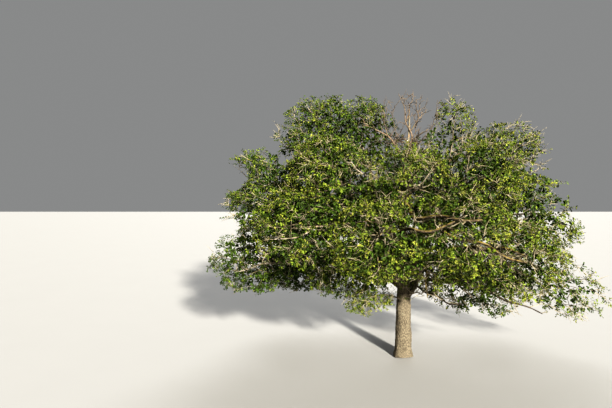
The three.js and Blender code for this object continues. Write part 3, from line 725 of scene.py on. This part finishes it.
def oldTwigs(old):
    form, line, radius = oldTwigForm, grown[old["name"]]["line"], grown[old["name"]]["radius"]
    n = int(old["twigs"])
    shares = form["from"] + (1 - form["from"]) * (np.arange(n) + rng.uniform(*form["stagger"], n)) / n
    ways = []
    for count, share in enumerate(shares):
        along, side, lift = frameAlong(line, min(share, form["last"]))
        lean = form["lean"] * (1 if count % 2 else -1)
        stray = rng.normal(size=3) * form["stray"]
        ways.append(along * form["forward"] + side * lean + lift * form["rise"] + stray)
    lengths = rng.uniform(*form["lengths"], n) * (form["longest"] - form["shortening"] * shares)
    runs = crooked(line.at(shares), unit(np.array(ways)), lengths, form["steps"], form["kink"])
    thick = np.minimum(form["stoutest"], radius(shares) * form["rootShare"] + form["thinnest"])
    radii = thick[:, None] + (form["thinnest"] - thick[:, None]) * np.linspace(0, 1, form["steps"] + 1)
    kept = inReach(runs).all(axis=1)
    runs, radii = runs[kept], radii[kept]
    shootRoots = runs[:, form["shootAt"]].reshape(-1, 3)
    onward = np.repeat(unit(runs[:, -1] - runs[:, 0]), len(form["shootAt"]), axis=0)
    shootWays = unit(onward + rng.normal(size=shootRoots.shape) * form["shootStray"])
    shootLengths = rng.uniform(*form["shootLengths"], len(shootRoots))
    shoots = crooked(shootRoots, shootWays, shootLengths, form["shootSteps"], form["shootKink"])
    shoots = shoots[inReach(shoots).all(axis=1)]
    return [tubes(runs, radii, 4), tubes(shoots, np.tile(form["shootRadii"], (len(shoots), 1)), 3)]


# Sprays: side shoots near each leafy twig's tip, with leaves along their outer parts
sprayForm = {
    "backs": (0.0, 0.07, 0.15, 0.24, 0.34, 0.45), "turns": (0.1, 0.85, -0.95, 1.05, -1.1, 1.15),
    "lengths": (0.17, 0.2, 0.23, 0.25, 0.24, 0.22), "variety": (0.7, 1.3), "shootRadius": 0.0036,
    "lifts": (-0.5, 1.0), "lift": 0.4, "keptShares": (0.55, 0.45), "heartShoots": 4, "stray": 0.5,
    "outUp": 0.8, "flat": 0.55, "slack": 0.14, "oldClear": 0.22, "oldWindow": 2.2, "oldSpare": 1.0,
    "oldOutward": 0.45, "oldSide": (-0.25, -0.9, 0.0), "leafPlaces": (0.42, 0.62, 0.8, 0.93, 1.0),
    "leafLength": 0.098, "heartLeafLength": 0.2, "leafVariety": 0.32,
    "leafOpen": (1.15, 1.0, 0.85, 0.7, 0.35), "openVariety": (0.8, 1.25), "spin": 2.4, "spinDepth": 0.5,
    "faceScatter": 1.0, "faceUp": 0.5,
}
# The leaf greens. The first is near-black: painted shade, dealt to shaded masses and the crown's inside
greens = ("deepGreen", "midGreen", "oliveGreen", "brightGreen", "yellowGreen")
# Mixes of the greens, which paint light and shade: dark, shaded and heart take mostly the near-black
# painted-shade green, sunlit and yellow take more bright and yellow greens as painted sunlight
greenMixesWithPaintedLight = {
    "dark": (0.86, 0.11, 0.03, 0, 0), "shaded": (0.5, 0.32, 0.1, 0.07, 0.01),
    "mixed": (0.32, 0.33, 0.21, 0.11, 0.03), "sunlit": (0.23, 0.32, 0.25, 0.15, 0.05),
    "yellow": (0.12, 0.24, 0.28, 0.24, 0.12), "heart": (0.85, 0.15, 0, 0, 0),
}


def clearOfOld(points, space):
    # Which points leave the old limbs in view: not near one, nor close outside it
    form, clear = sprayForm, np.ones(len(points), bool)
    reach = space["halves"].max() + form["oldSpare"]
    near = oldPoints[np.linalg.norm(oldPoints - space["centre"], axis=1) < reach]
    for place, way in zip(near, unit(outwards(near) * form["oldOutward"] + form["oldSide"])):
        offset = points - place
        out = np.clip(offset @ way, 0, form["oldWindow"])
        clear &= np.linalg.norm(offset - out[:, None] * way, axis=1) > form["oldClear"]
    return clear


def spraysOf(mass):
    # The shoots and leaves of a mass: arrays of shoots, and of leaves with the green of each
    space, joints, form = mass["space"], mass["joints"], sprayForm
    limb = space["limb"]
    twigs = [twig for twig in mass["twigs"] if not twig["bare"]]
    n, kinds = len(twigs), len(form["backs"])
    tips = np.array([twig["tip"] for twig in twigs])
    heart = np.array([twig["covered"] for twig in twigs])
    sleeve = np.array([twig["order"] == 2 for twig in twigs])
    ends = joints.way[[twig["chain"][-1] for twig in twigs]]
    outward = unit(tips - space["centre"])
    stray = rng.uniform(-form["stray"], form["stray"], (n, 3))
    facing = unit(outward + stray + up * form["outUp"])
    forward = unit(ends - form["flat"] * np.einsum("ij,ij->i", ends, facing)[:, None] * facing)
    # Twigs inside the crown take the heart mix, nearly all near-black: painted shade in the crown's inside
    outer = rng.choice(len(greens), size=(n, kinds), p=greenMixesWithPaintedLight[limb["greens"]])
    inner = rng.choice(len(greens), size=(n, kinds), p=greenMixesWithPaintedLight["heart"])
    green = np.where(heart[:, None], inner, outer)
    shootWays = fanned(form, forward, unit(np.cross(facing, forward)))
    lifts = rng.uniform(*form["lifts"], (n, kinds)) * form["lift"]
    shootWays = unit(shootWays + facing[:, None] * lifts[..., None])
    lengths = form["lengths"] * rng.uniform(*form["variety"], (n, kinds))
    roots = rootsAlong(joints, twigs, form["backs"])
    ends = roots + shootWays * lengths[..., None]
    kept = holds(space, ends.reshape(-1, 3), form["slack"]).reshape(n, kinds) | sleeve[:, None]
    kept &= rng.random((n, kinds)) < form["keptShares"][0] + form["keptShares"][1] * limb["full"]
    kept &= ~heart[:, None] | (np.arange(kinds) < form["heartShoots"])
    kept &= inReach(ends) & clearOfOld(ends.reshape(-1, 3), space).reshape(n, kinds)

    def ofKept(values):
        return np.repeat(values[:, None], kinds, axis=1)[kept]

    facing, sleeve, heart = ofKept(facing), ofKept(sleeve), ofKept(heart)
    green, roots, ends, shootWays = green[kept], roots[kept], ends[kept], shootWays[kept]
    m, places = len(roots), len(form["leafPlaces"])
    base = roots[:, None] + (ends - roots)[:, None] * np.array(form["leafPlaces"])[:, None]
    sideways = unit(np.cross(facing, shootWays))
    spin = np.arange(places) * form["spin"] + rng.uniform(0, 2 * np.pi, m)[:, None]
    depth = form["spinDepth"] * np.sin(spin)
    perp = sideways[:, None] * np.cos(spin)[..., None] + facing[:, None] * depth[..., None]
    opening = form["leafOpen"] * rng.uniform(*form["openVariety"], (m, places))
    along = unit(shootWays[:, None] * np.cos(opening)[..., None] + unit(perp) * np.sin(opening)[..., None])
    face = facing[:, None] + rng.normal(size=(m, places, 3)) * form["faceScatter"] + up * form["faceUp"]
    across = unit(np.cross(face, along))
    # Leaves inside the crown are about twice as long, so the near-black painted-shade leaves close it off
    length = np.where(heart, form["heartLeafLength"], form["leafLength"])[:, None]
    size = length * (1 + form["leafVariety"] * rng.uniform(-1, 1, (m, places)))
    leafTips = base + along * size[..., None]
    kept = holds(space, leafTips.reshape(-1, 3), form["slack"]).reshape(m, places) | sleeve[:, None]
    kept &= inReach(leafTips) & ~inHollow(leafTips)
    kept &= clearOfOld(base.reshape(-1, 3), space).reshape(m, places)
    kept &= ~heart[:, None] | (np.arange(places) > 0)
    leaves = {"base": base, "along": along, "across": across, "face": np.cross(along, across), "size": size,
              "green": np.repeat(green[:, None], places, axis=1)}
    return {"shoots": np.stack([roots, ends], axis=1), "leaves": {key: leaves[key][kept] for key in leaves}}


leafForm = {
    "rightEdge": ((0.36, 0.22), (0.53, 0.13), (0.80, 0.27)), "leftEdge": ((0.44, 0.22), (0.84, 0.25)),
    "fold": 0.32, "droop": 0.16,
}


def leafPattern():
    # A lobed blade, a little folded along its rib and drooping to its tip
    outline = [(0, 0), *leafForm["rightEdge"], (1, 0), *[(x, -y) for x, y in leafForm["leftEdge"][::-1]]]
    points = [(x, y, abs(y) * leafForm["fold"] - leafForm["droop"] * x * x) for x, y in outline]
    return np.array(points), np.array([(0, 1, 2), (0, 2, 4), (2, 3, 4), (0, 4, 6), (4, 5, 6)])


def leafMesh(name, leaves):
    pattern, faces = leafPattern()
    points = leaves["base"][:, None] + leaves["size"][:, None, None] * (
        pattern[:, :1] * leaves["along"][:, None] + pattern[:, 1:2] * leaves["across"][:, None]
        + pattern[:, 2:] * leaves["face"][:, None])
    faces = faces[None] + (np.arange(len(points)) * len(pattern))[:, None, None]
    return meshFromArrays(name, points.reshape(-1, 3), faces.reshape(-1, 3), False)


# The materials
class Wire:
    # A socket that takes part in sums
    def __init__(self, sheet, socket):
        self.sheet, self.socket = sheet, socket

    def sum(self, operation, left, right):
        return self.sheet.node("ShaderNodeMath", {"operation": operation}, {0: left, 1: right})

    def __add__(self, other):
        return self.sum("ADD", self, other)

    def __radd__(self, other):
        return self.sum("ADD", other, self)

    def __mul__(self, other):
        return self.sum("MULTIPLY", self, other)

    def __rmul__(self, other):
        return self.sum("MULTIPLY", other, self)


class Sheet:
    # A material's sheet of nodes
    def __init__(self, name):
        self.material = bpy.data.materials.new(name)
        self.material.use_nodes = True
        self.nodes, self.links = self.material.node_tree.nodes, self.material.node_tree.links
        self.nodes.clear()

    def node(self, kind, settings={}, sockets={}, out=0):
        made = self.nodes.new(kind)
        for key, value in settings.items():
            setattr(made, key, value)
        for key, value in sockets.items():
            if isinstance(value, Wire):
                self.links.new(value.socket, made.inputs[key])
            elif isinstance(value, tuple) and len(value) == 3 and made.inputs[key].type == "RGBA":
                made.inputs[key].default_value = (*value, 1)
            else:
                made.inputs[key].default_value = value
        return Wire(self, made.outputs[out])

    def mix(self, share, first, second):
        # Colours, by a share that is a number or a wire
        return self.node("ShaderNodeMix", {"data_type": "RGBA"}, {0: share, 6: first, 7: second}, 2)

    def noise(self, where, scale, detail, rough=0.55):
        sockets = {"Vector": where, "Scale": scale, "Detail": detail, "Roughness": rough}
        return self.node("ShaderNodeTexNoise", {}, sockets)

    def band(self, value, low, high):
        # 0 below low, 1 above high, smooth between
        return self.node("ShaderNodeMapRange", {"interpolation_type": "SMOOTHSTEP"},
                         {0: value, 1: low, 2: high, 3: 0.0, 4: 1.0})

    def patches(self, height, low, high, widening, share):
        # Where the height stands out of the band, which reaches lower as the share grows
        return self.band(height, low - widening * share, high)

    def bump(self, height, strength, distance):
        return self.node("ShaderNodeBump", {}, {"Strength": strength, "Distance": distance, "Height": height})

    def finish(self, colour, roughness, more={}):
        sockets = {"Base Color": colour, "Roughness": roughness, **more}
        surface = self.node("ShaderNodeBsdfPrincipled", {}, sockets)
        output = self.nodes.new("ShaderNodeOutputMaterial")
        self.links.new(surface.socket, output.inputs["Surface"])
        return self.material


leafLooks = {
    # The first green's near-black blade is painted shade
    "deepGreen": {"blade": (0.028, 0.048, 0.007), "vein": (0.070, 0.105, 0.018), "slot": "leaf_dark"},
    "midGreen": {"blade": (0.084, 0.112, 0.013), "vein": (0.155, 0.200, 0.034), "slot": "leaf_green"},
    "oliveGreen": {"blade": (0.132, 0.138, 0.025), "vein": (0.200, 0.215, 0.043), "slot": "leaf_olive"},
    "brightGreen": {"blade": (0.112, 0.146, 0.020), "vein": (0.190, 0.240, 0.038), "slot": "leaf_green"},
    "yellowGreen": {"blade": (0.132, 0.144, 0.025), "vein": (0.235, 0.245, 0.050), "slot": "leaf_olive"},
}
leafShade = {
    "patch": 13.0, "patchBand": (0.36, 0.64), "darkest": 0.2, "lightest": 1.72, "flecks": 70.0,
    "fleckBand": (0.5, 0.72), "fleckShare": 0.5, "veins": 160.0, "veinStrength": 0.35, "veinDepth": 0.002,
    "roughness": 0.5, "roughnessSpan": 0.2, "gloss": 0.12,
}


def leafMaterial(green):
    # Blades that differ from one to the next, flecked and a little glossy, with fine veins in the bump
    sheet, look, shade = Sheet(green + "Leaf"), leafLooks[green], leafShade
    where = sheet.node("ShaderNodeTexCoord", out=3)
    mottle = sheet.noise(where, shade["patch"], 2.0)
    flecks = sheet.band(sheet.noise(where, shade["flecks"], 2.0), *shade["fleckBand"])
    ends = [tuple(part * shade[end] for part in look["blade"]) for end in ("darkest", "lightest")]
    colour = sheet.mix(sheet.band(mottle, *shade["patchBand"]), *ends)
    colour = sheet.mix(flecks * shade["fleckShare"], colour, look["vein"])
    veins = sheet.bump(sheet.noise(where, shade["veins"], 2.0), shade["veinStrength"], shade["veinDepth"])
    roughness = shade["roughness"] + mottle * shade["roughnessSpan"]
    return sheet.finish(colour, roughness, {"Normal": veins, "Specular IOR Level": shade["gloss"]})


# One row a bark: the colours of its ridges, cracks, lichen and moss, how much lichen, moss and rust it
# has, and how close its cracks are across and along the limb
barkColumns = "name ridge crack lichen moss lichenShare mossShare rust cracks".split()
barkLooks = [dict(zip(barkColumns, row)) for row in (
    ("trunkBark", (0.178, 0.15, 0.104), (0.058, 0.047, 0.032), (0.28, 0.255, 0.18), (0.1, 0.105, 0.04),
     0.3, 0.12, 0.0, (30, 30, 9)),
    ("boughBark", (0.15, 0.122, 0.09), (0.045, 0.034, 0.024), (0.36, 0.34, 0.27), (0.15, 0.125, 0.03),
     0.5, 0.5, 0.15, (30, 30, 8)),
    ("shadedBark", (0.07, 0.056, 0.042), (0.022, 0.017, 0.012), (0.17, 0.16, 0.12), (0.1, 0.085, 0.025),
     0.2, 0.4, 0.1, (30, 30, 8)),
    ("mossyBark", (0.11, 0.085, 0.052), (0.03, 0.024, 0.017), (0.29, 0.25, 0.15), (0.3, 0.225, 0.04),
     0.3, 0.75, 0.15, (30, 30, 8)),
    ("deadBark", (0.5, 0.44, 0.355), (0.17, 0.135, 0.1), (0.56, 0.53, 0.46), (0.3, 0.21, 0.09),
     0.45, 0.3, 0.3, (40, 40, 7)),
    ("topBark", (0.235, 0.178, 0.12), (0.085, 0.062, 0.043), (0.42, 0.37, 0.28), (0.3, 0.19, 0.06),
     0.3, 0.4, 0.25, (40, 40, 7)),
    ("deadTwigBark", (0.46, 0.41, 0.285), (0.22, 0.18, 0.12), (0.56, 0.53, 0.4), (0.36, 0.29, 0.16),
     0.5, 0.15, 0.1, (60, 60, 25)),
    ("topTwigBark", (0.2, 0.158, 0.118), (0.085, 0.064, 0.048), (0.36, 0.32, 0.26), (0.26, 0.18, 0.07),
     0.4, 0.2, 0.15, (60, 60, 25)),
    ("twigBark", (0.27, 0.235, 0.165), (0.1, 0.08, 0.055), (0.4, 0.38, 0.28), (0.2, 0.17, 0.05),
     0.6, 0.3, 0.2, (60, 60, 25)),
)]
barkShade = {
    "warpScale": 0.8, "warp": 0.25, "seams": (0.02, 0.22), "fine": (3.2, 4.0), "fineShare": 0.45,
    "shadow": 0.55, "seamLichen": 0.35, "mossCover": 0.8, "plateRelief": 0.7, "fineRelief": 0.5,
    "strength": 0.6, "depth": 0.02, "roughness": 0.82, "roughnessSpan": 0.14, "gloss": 0.25,
    "lichenNoise": (7.0, 5.0, 0.62), "lichenBand": (0.66, 0.74, 0.2), "mossNoise": (4.0, 4.0),
    "mossBand": (0.78, 0.95, 0.35), "upward": 0.35, "rustNoise": (3.0, 3.0), "rustBand": (0.62, 0.72, 0.2),
    "rustColour": (0.42, 0.20, 0.055),
}


def barkMaterial(look):
    # Plates and cracks that run with the limb, pale lichen in patches, moss on the upper sides; twigs have
    # no grain, and their pattern follows the place
    sheet, shade = Sheet(look["name"]), barkShade
    place = sheet.node("ShaderNodeTexCoord", out=3)
    grained = not look["name"].lower().endswith("twigbark")
    grain = sheet.node("ShaderNodeAttribute", {"attribute_name": "grain"}, out=1) if grained else place
    drawn = {"Vector": grain, "Scale": look["cracks"]}
    drawn = sheet.node("ShaderNodeMapping", {"vector_type": "POINT"}, drawn)
    warped = {"Vector": drawn, "Scale": shade["warpScale"], "Detail": 2.0}
    warped = sheet.node("ShaderNodeTexNoise", {}, warped, 1)
    warped = sheet.node("ShaderNodeMix", {"data_type": "VECTOR"}, {0: shade["warp"], 4: drawn, 5: warped}, 1)
    edge = {"Vector": warped, "Scale": 1.0}
    edge = sheet.node("ShaderNodeTexVoronoi", {"feature": "DISTANCE_TO_EDGE"}, edge)
    plates = sheet.band(edge, *shade["seams"])
    fine = sheet.noise(drawn, *shade["fine"])
    lichen, moss, rust = [sheet.noise(place, *shade[kind + "Noise"]) for kind in ("lichen", "moss", "rust")]
    topside = sheet.node("ShaderNodeSeparateXYZ", {}, {0: sheet.node("ShaderNodeTexCoord", out=1)}, 2)
    patches = sheet.patches(lichen, *shade["lichenBand"], look["lichenShare"])
    mossy = sheet.patches(topside * shade["upward"] + moss, *shade["mossBand"], look["mossShare"])
    rusty = sheet.patches(rust, *shade["rustBand"], look["rust"]) * look["rust"]
    colour = sheet.mix(plates, look["crack"], look["ridge"])
    shadow = tuple(part * shade["shadow"] for part in look["ridge"])
    colour = sheet.mix(fine * shade["fineShare"], colour, shadow)
    colour = sheet.mix(rusty, colour, shade["rustColour"])
    onPlates = shade["seamLichen"] + (1 - shade["seamLichen"]) * plates
    colour = sheet.mix(patches * onPlates, colour, look["lichen"])
    colour = sheet.mix(mossy * shade["mossCover"], colour, look["moss"])
    height = plates * shade["plateRelief"] + fine * shade["fineRelief"]
    relief = sheet.bump(height, shade["strength"], shade["depth"])
    roughness = shade["roughness"] + fine * shade["roughnessSpan"]
    return sheet.finish(colour, roughness, {"Normal": relief, "Specular IOR Level": shade["gloss"]})


materials = {look["name"]: barkMaterial(look) for look in barkLooks}
for green in leafLooks:
    materials[green + "Leaf"] = leafMaterial(green)
print("materials ready")


def dress(piece, material, nodes):
    piece.data.materials.clear()
    piece.data.materials.append(materials[material])
    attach(piece, "root")
    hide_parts(*nodes)


# The trunk and the limbs, made straight and then bent along their lines
def only(piece):
    bpy.ops.object.select_all(action="DESELECT")
    piece.select_set(True)
    bpy.context.view_layer.objects.active = piece


def applyModifier(piece, name, kind, **settings):
    only(piece)
    made = piece.modifiers.new(name, kind)
    for key, value in settings.items():
        setattr(made, key, value)
    bpy.ops.object.modifier_apply(modifier=made.name)


plates = bpy.data.textures.new("barkPlates", "VORONOI")
plates.noise_scale, plates.weight_1, plates.weight_2, plates.noise_intensity = 1.0, -1.0, 1.0, 1.2
lumps = bpy.data.textures.new("barkLumps", "CLOUDS")
lumps.noise_scale, lumps.noise_depth = 1.0, 2
lumpMiddle, plateMiddle = 0.5, 0.6  # the greys of the textures that leave the skin where it is
gaugeShift, grainShift = (1.3, 0.7, 0), (3.1, 1.7, 5.3)  # metres for each seed, so that no two limbs match


def straightLimb(name, stations, radii, sides):
    # A round bar along +Z, drawn ring by ring
    only(frame["nodes"]["trunk"])  # gives the next operators an object to start from
    bpy.ops.object.select_all(action="DESELECT")
    bpy.ops.mesh.primitive_circle_add(vertices=sides, radius=radii[0], fill_type="NGON", location=(0, 0, 0))
    piece = bpy.context.object
    piece.name = piece.data.name = name
    bpy.ops.object.mode_set(mode="EDIT")
    bpy.ops.mesh.select_all(action="SELECT")
    for low, high, inner, outer in zip(stations, stations[1:], radii, radii[1:]):
        bpy.ops.mesh.extrude_region_move(TRANSFORM_OT_translate={"value": (0, 0, high - low)})
        bpy.ops.transform.resize(value=(outer / inner, outer / inner, 1), center_override=(0, 0, high))
    bpy.ops.mesh.select_all(action="SELECT")
    bpy.ops.mesh.normals_make_consistent(inside=False)
    bpy.ops.object.mode_set(mode="OBJECT")
    return piece


def rememberGrain(piece, seed):
    # The straight coordinates, which the bark's pattern follows after the bend
    points = np.zeros(len(piece.data.vertices) * 3, np.float32)
    piece.data.vertices.foreach_get("co", points)
    points = points.reshape(-1, 3) + np.array([seed * shift for shift in grainShift], np.float32)
    grain = piece.data.attributes.new("grain", "FLOAT_VECTOR", "POINT")
    grain.data.foreach_set("vector", points.ravel())


def bendAlong(piece, points):
    # Bends a straight bar along a line through points
    path = bpy.data.curves.new("limbPath", "CURVE")
    path.dimensions = "3D"
    spline = path.splines.new("POLY")
    spline.points.add(len(points) - 1)
    spline.points.foreach_set("co", np.column_stack([points, np.ones(len(points))]).ravel())
    holder = bpy.data.objects.new("limbPath", path)
    bpy.context.scene.collection.objects.link(holder)
    applyModifier(piece, "bend", "CURVE", object=holder, deform_axis="POS_Z")
    bpy.data.objects.remove(holder)
    bpy.data.curves.remove(path)


def finishLimb(piece, seed, levels, coats, path):
    # Rounds a straight bar, pushes its skin out and in by textures, and bends it along its path
    applyModifier(piece, "round", "SUBSURF", levels=levels, render_levels=levels)
    rememberGrain(piece, seed)
    for texture, middle, size, depth in coats:
        bpy.ops.object.empty_add(location=[seed * shift for shift in gaugeShift])
        gauge = bpy.context.object
        gauge.scale = size
        bpy.context.view_layer.update()
        applyModifier(piece, texture.name, "DISPLACE", texture=texture, texture_coords="OBJECT",
                      texture_coords_object=gauge, mid_level=middle, strength=depth)
        bpy.data.objects.remove(gauge)
    bendAlong(piece, path)


limbForm = {
    "ringStep": 0.16, "fewestRings": 8, "crowding": 1.15, "sides": 12, "pathStep": 0.06, "fewestSteps": 20,
    "buriedShare": 0.35, "plateDepth": 0.13, "plateShare": 0.3, "plateLeast": 0.028, "plateLength": 3.5,
    "lumpDepth": 0.28, "lumpSize": (0.16, 0.16, 0.34),
}


def makeLimb(limb, seed):
    form, g = limbForm, grown[limb["name"]]
    line, base = g["line"], limb["base"]
    start = 0.0 if limb["at"] == 1 else g["buried"] * form["buriedShare"] / line.length
    steps = max(form["fewestRings"], round(line.length / form["ringStep"]))
    shares = start + (1 - start) * np.linspace(0, 1, steps + 1) ** form["crowding"]
    stations = (shares - start) * line.length
    piece = straightLimb(camel(limb["name"]), stations, g["radius"](shares), form["sides"])
    wide = max(form["plateLeast"], base * form["plateShare"])
    coats = [(lumps, lumpMiddle, form["lumpSize"], base * form["lumpDepth"]),
             (plates, plateMiddle, (wide, wide, wide * form["plateLength"]), base * form["plateDepth"])]
    pathSteps = max(form["fewestSteps"], round(line.length / form["pathStep"]))
    finishLimb(piece, seed, 1, coats, line.at(np.linspace(start, 1, pathSteps + 1)))
    piece.data.shade_smooth()
    return piece


def camel(name):
    first, *rest = name.split("_")
    return first + "".join(word.capitalize() for word in rest)


trunkMesh = {
    "sides": 36, "rings": 44, "crowding": 1.4, "below": 0.04, "flare": 0.45, "rootPull": 0.06,
    "rootSpan": 0.42, "rootTurn": 0.25, "rootUnrest": 2.3, "footBand": 0.05, "footCore": 0.1,
    "rootAim": 0.975, "plateSize": (0.06, 0.06, 0.19), "plateDepth": 0.045, "lumpSize": (0.3, 0.3, 0.7),
    "lumpDepth": 0.09, "pathPoints": 60,
}


def makeTrunk():
    form, mesh = trunkForm, trunkMesh
    shares = np.linspace(0, 1, mesh["rings"] + 1) ** mesh["crowding"]
    heights = shares * form["height"]
    radii = trunkRadius(shares) + mesh["flare"] * form["flareReach"] * np.exp(-heights / form["flareHeight"])
    stations = heights - mesh["below"] * (shares == 0)
    piece = straightLimb("trunkBark", stations, radii, mesh["sides"])
    for root in range(form["roots"]):  # the root buttresses are pulled out of the foot
        unrest = mesh["rootTurn"] * math.sin(root * mesh["rootUnrest"])
        angle = 2 * math.pi * root / form["roots"] + unrest
        way = Vector((math.cos(angle), math.sin(angle), 0))
        bpy.ops.object.mode_set(mode="EDIT")
        bpy.ops.mesh.select_all(action="DESELECT")
        bpy.ops.object.mode_set(mode="OBJECT")
        for vertex in piece.data.vertices:
            flat = Vector((vertex.co.x, vertex.co.y, 0))
            aimed = flat.length > mesh["footCore"] and flat.normalized().dot(way) > mesh["rootAim"]
            vertex.select = aimed and vertex.co.z < mesh["footBand"]
        bpy.ops.object.mode_set(mode="EDIT")
        bpy.ops.transform.translate(value=way * mesh["rootPull"], use_proportional_edit=True,
                                    proportional_edit_falloff="SMOOTH", proportional_size=mesh["rootSpan"])
        bpy.ops.object.mode_set(mode="OBJECT")
    coats = [(lumps, lumpMiddle, mesh["lumpSize"], mesh["lumpDepth"]),
             (plates, plateMiddle, mesh["plateSize"], mesh["plateDepth"])]
    finishLimb(piece, 0, 2, coats, np.linspace(0, 1, mesh["pathPoints"])[:, None] * trunkTop)
    only(piece)
    bpy.ops.object.mode_set(mode="EDIT")  # the cut at the ground is flat and closed
    bpy.ops.mesh.select_all(action="SELECT")
    bpy.ops.mesh.bisect(plane_co=(0, 0, 0), plane_no=(0, 0, 1), use_fill=True, clear_inner=True)
    bpy.ops.object.mode_set(mode="OBJECT")
    piece.data.shade_smooth()
    return piece


def makeOldLimbs():
    # The old limbs, joined by their bark
    made = {}
    for seed, old in enumerate(oldLimbs, len(limbs) + 1):
        made.setdefault(old["bark"], []).append((makeLimb(old, seed), old["mass"]))
    for bark, members in made.items():
        only(members[0][0])
        for piece, mass in members:
            piece.select_set(True)
        bpy.ops.object.join()
        piece = members[0][0]
        piece.name = piece.data.name = "old" + bark[0].upper() + bark[1:]
        dress(piece, bark, sorted({mass for piece, mass in members}))


dress(makeTrunk(), "trunkBark", ["trunk"])
for seed, limb in enumerate(limbs, 1):
    dress(makeLimb(limb, seed), "boughBark", [limb["name"]])
makeOldLimbs()
print("trunk and limbs made")


# The crown, in three parts so that no piece grows too large
upperFrom, frontTo = 7.6, 0.5
crownParts = {"upper": [], "front": [], "back": []}
for mass in masses:
    centre = mass["space"]["centre"]
    lower = "front" if centre[1] < frontTo else "back"
    crownParts["upper" if centre[2] > upperFrom else lower].append(mass)


def makeWood(name, parts, bark, nodes):
    points, faces = joined(parts)
    dress(meshFromArrays(name, points, faces, True), bark, nodes)
    print(" ", name, len(faces), "triangles")


def bareWood(members):
    # The bare twigs of these masses and of the old limbs among them
    names = [mass["space"]["limb"]["mass"] for mass in members]
    bare = [piece for mass in members for piece in twigTubes(mass, True) + bareShoots(mass)]
    bare += [piece for old in oldLimbs if old["mass"] in names for piece in oldTwigs(old)]
    return bare, names


def makeCrownPart(part, members):
    living = [mass for mass in members if not all(twig["bare"] for twig in mass["twigs"])]
    livingNames = [mass["space"]["limb"]["mass"] for mass in living]
    sprays = [spraysOf(mass) for mass in living]
    wood = [stemTube(mass) for mass in members]
    for mass in living:
        wood += twigTubes(mass, False)
    for spray in sprays:
        radii = np.full(spray["shoots"].shape[:2], sprayForm["shootRadius"])
        wood.append(tubes(spray["shoots"], radii, 3))
    makeWood(part + "CrownTwigs", wood, "twigBark", livingNames)
    for top, name, bark in ((True, "TopTwigs", "topTwigBark"), (False, "BareTwigs", "deadTwigBark")):
        bare, names = bareWood([mass for mass in members if (not mass["space"]["limb"]["leaf"]) == top])
        if names:
            makeWood(part + name, bare, bark, names)
    for index, green in enumerate(greens):
        chosen = [spray["leaves"]["green"] == index for spray in sprays]
        leaves = {key: np.concatenate([spray["leaves"][key][own] for spray, own in zip(sprays, chosen)])
                  for key in sprays[0]["leaves"]}
        piece = leafMesh(part + green[0].upper() + green[1:] + "Leaves", leaves)
        dress(piece, green + "Leaf", livingNames)
        print(" ", piece.name, len(leaves["size"]), "leaves")


for part, members in crownParts.items():
    makeCrownPart(part, members)
print("crown made")


# Floor, light and camera
floorForm = {
    "size": 900, "colour": (0.29, 0.286, 0.275), "cloudScale": 0.3, "cloudShade": 0.97, "roughness": 0.95,
}


def floorMaterial(name):
    sheet, colour = Sheet(name), floorForm["colour"]
    tone = sheet.noise(sheet.node("ShaderNodeTexCoord", out=3), floorForm["cloudScale"], 2.0)
    clouded = sheet.mix(tone, colour, tuple(part * floorForm["cloudShade"] for part in colour))
    return sheet.finish(clouded, floorForm["roughness"])


bpy.ops.object.select_all(action="DESELECT")
bpy.ops.mesh.primitive_plane_add(size=floorForm["size"], location=(0, 0, 0))
floor = bpy.context.object
floor.name = "floor"
floor.data.materials.append(floorMaterial("paleFloor"))

studio = {
    "sky": (0.92, 0.93, 0.93), "skyStrength": 0.25, "cameraPlace": (-4.91, -24.1, 7.7), "lens": 28.0,
    "sensor": 36.0, "farClip": 2000,
}
sunLooks = {
    "key": {"strength": 12.2, "angle": 4.0, "colour": (1, 0.96, 0.88), "azimuth": 290.0, "height": 19.0},
    "fill": {"strength": 3.0, "angle": 40.0, "colour": (0.97, 0.98, 1), "azimuth": 80.0, "height": 35.0},
}
world = bpy.data.worlds.new("paleStudio")
bpy.context.scene.world = world
world.use_nodes = True
sky = world.node_tree.nodes["Background"].inputs
sky["Color"].default_value, sky["Strength"].default_value = (*studio["sky"], 1), studio["skyStrength"]

for name, look in sunLooks.items():
    sunData = bpy.data.lights.new(name, "SUN")
    sunData.energy, sunData.color = look["strength"], look["colour"]
    sunData.angle = math.radians(look["angle"])
    sun = bpy.data.objects.new(name, sunData)
    towards = Vector(heading(look["azimuth"], look["height"]))
    sun.rotation_euler = towards.to_track_quat("Z", "Y").to_euler()
    bpy.context.scene.collection.objects.link(sun)

cameraData = bpy.data.cameras.new("camera")
cameraData.lens, cameraData.sensor_width = studio["lens"], studio["sensor"]
cameraData.clip_end = studio["farClip"]
camera = bpy.data.objects.new("camera", cameraData)
camera.location, camera.rotation_euler = studio["cameraPlace"], (math.radians(90), 0, 0)
bpy.context.scene.collection.objects.link(camera)
bpy.context.scene.camera = camera
bpy.context.scene.view_settings.view_transform = "Standard"
bpy.context.scene.view_settings.look = "High Contrast"

bpy.context.view_layer.update()
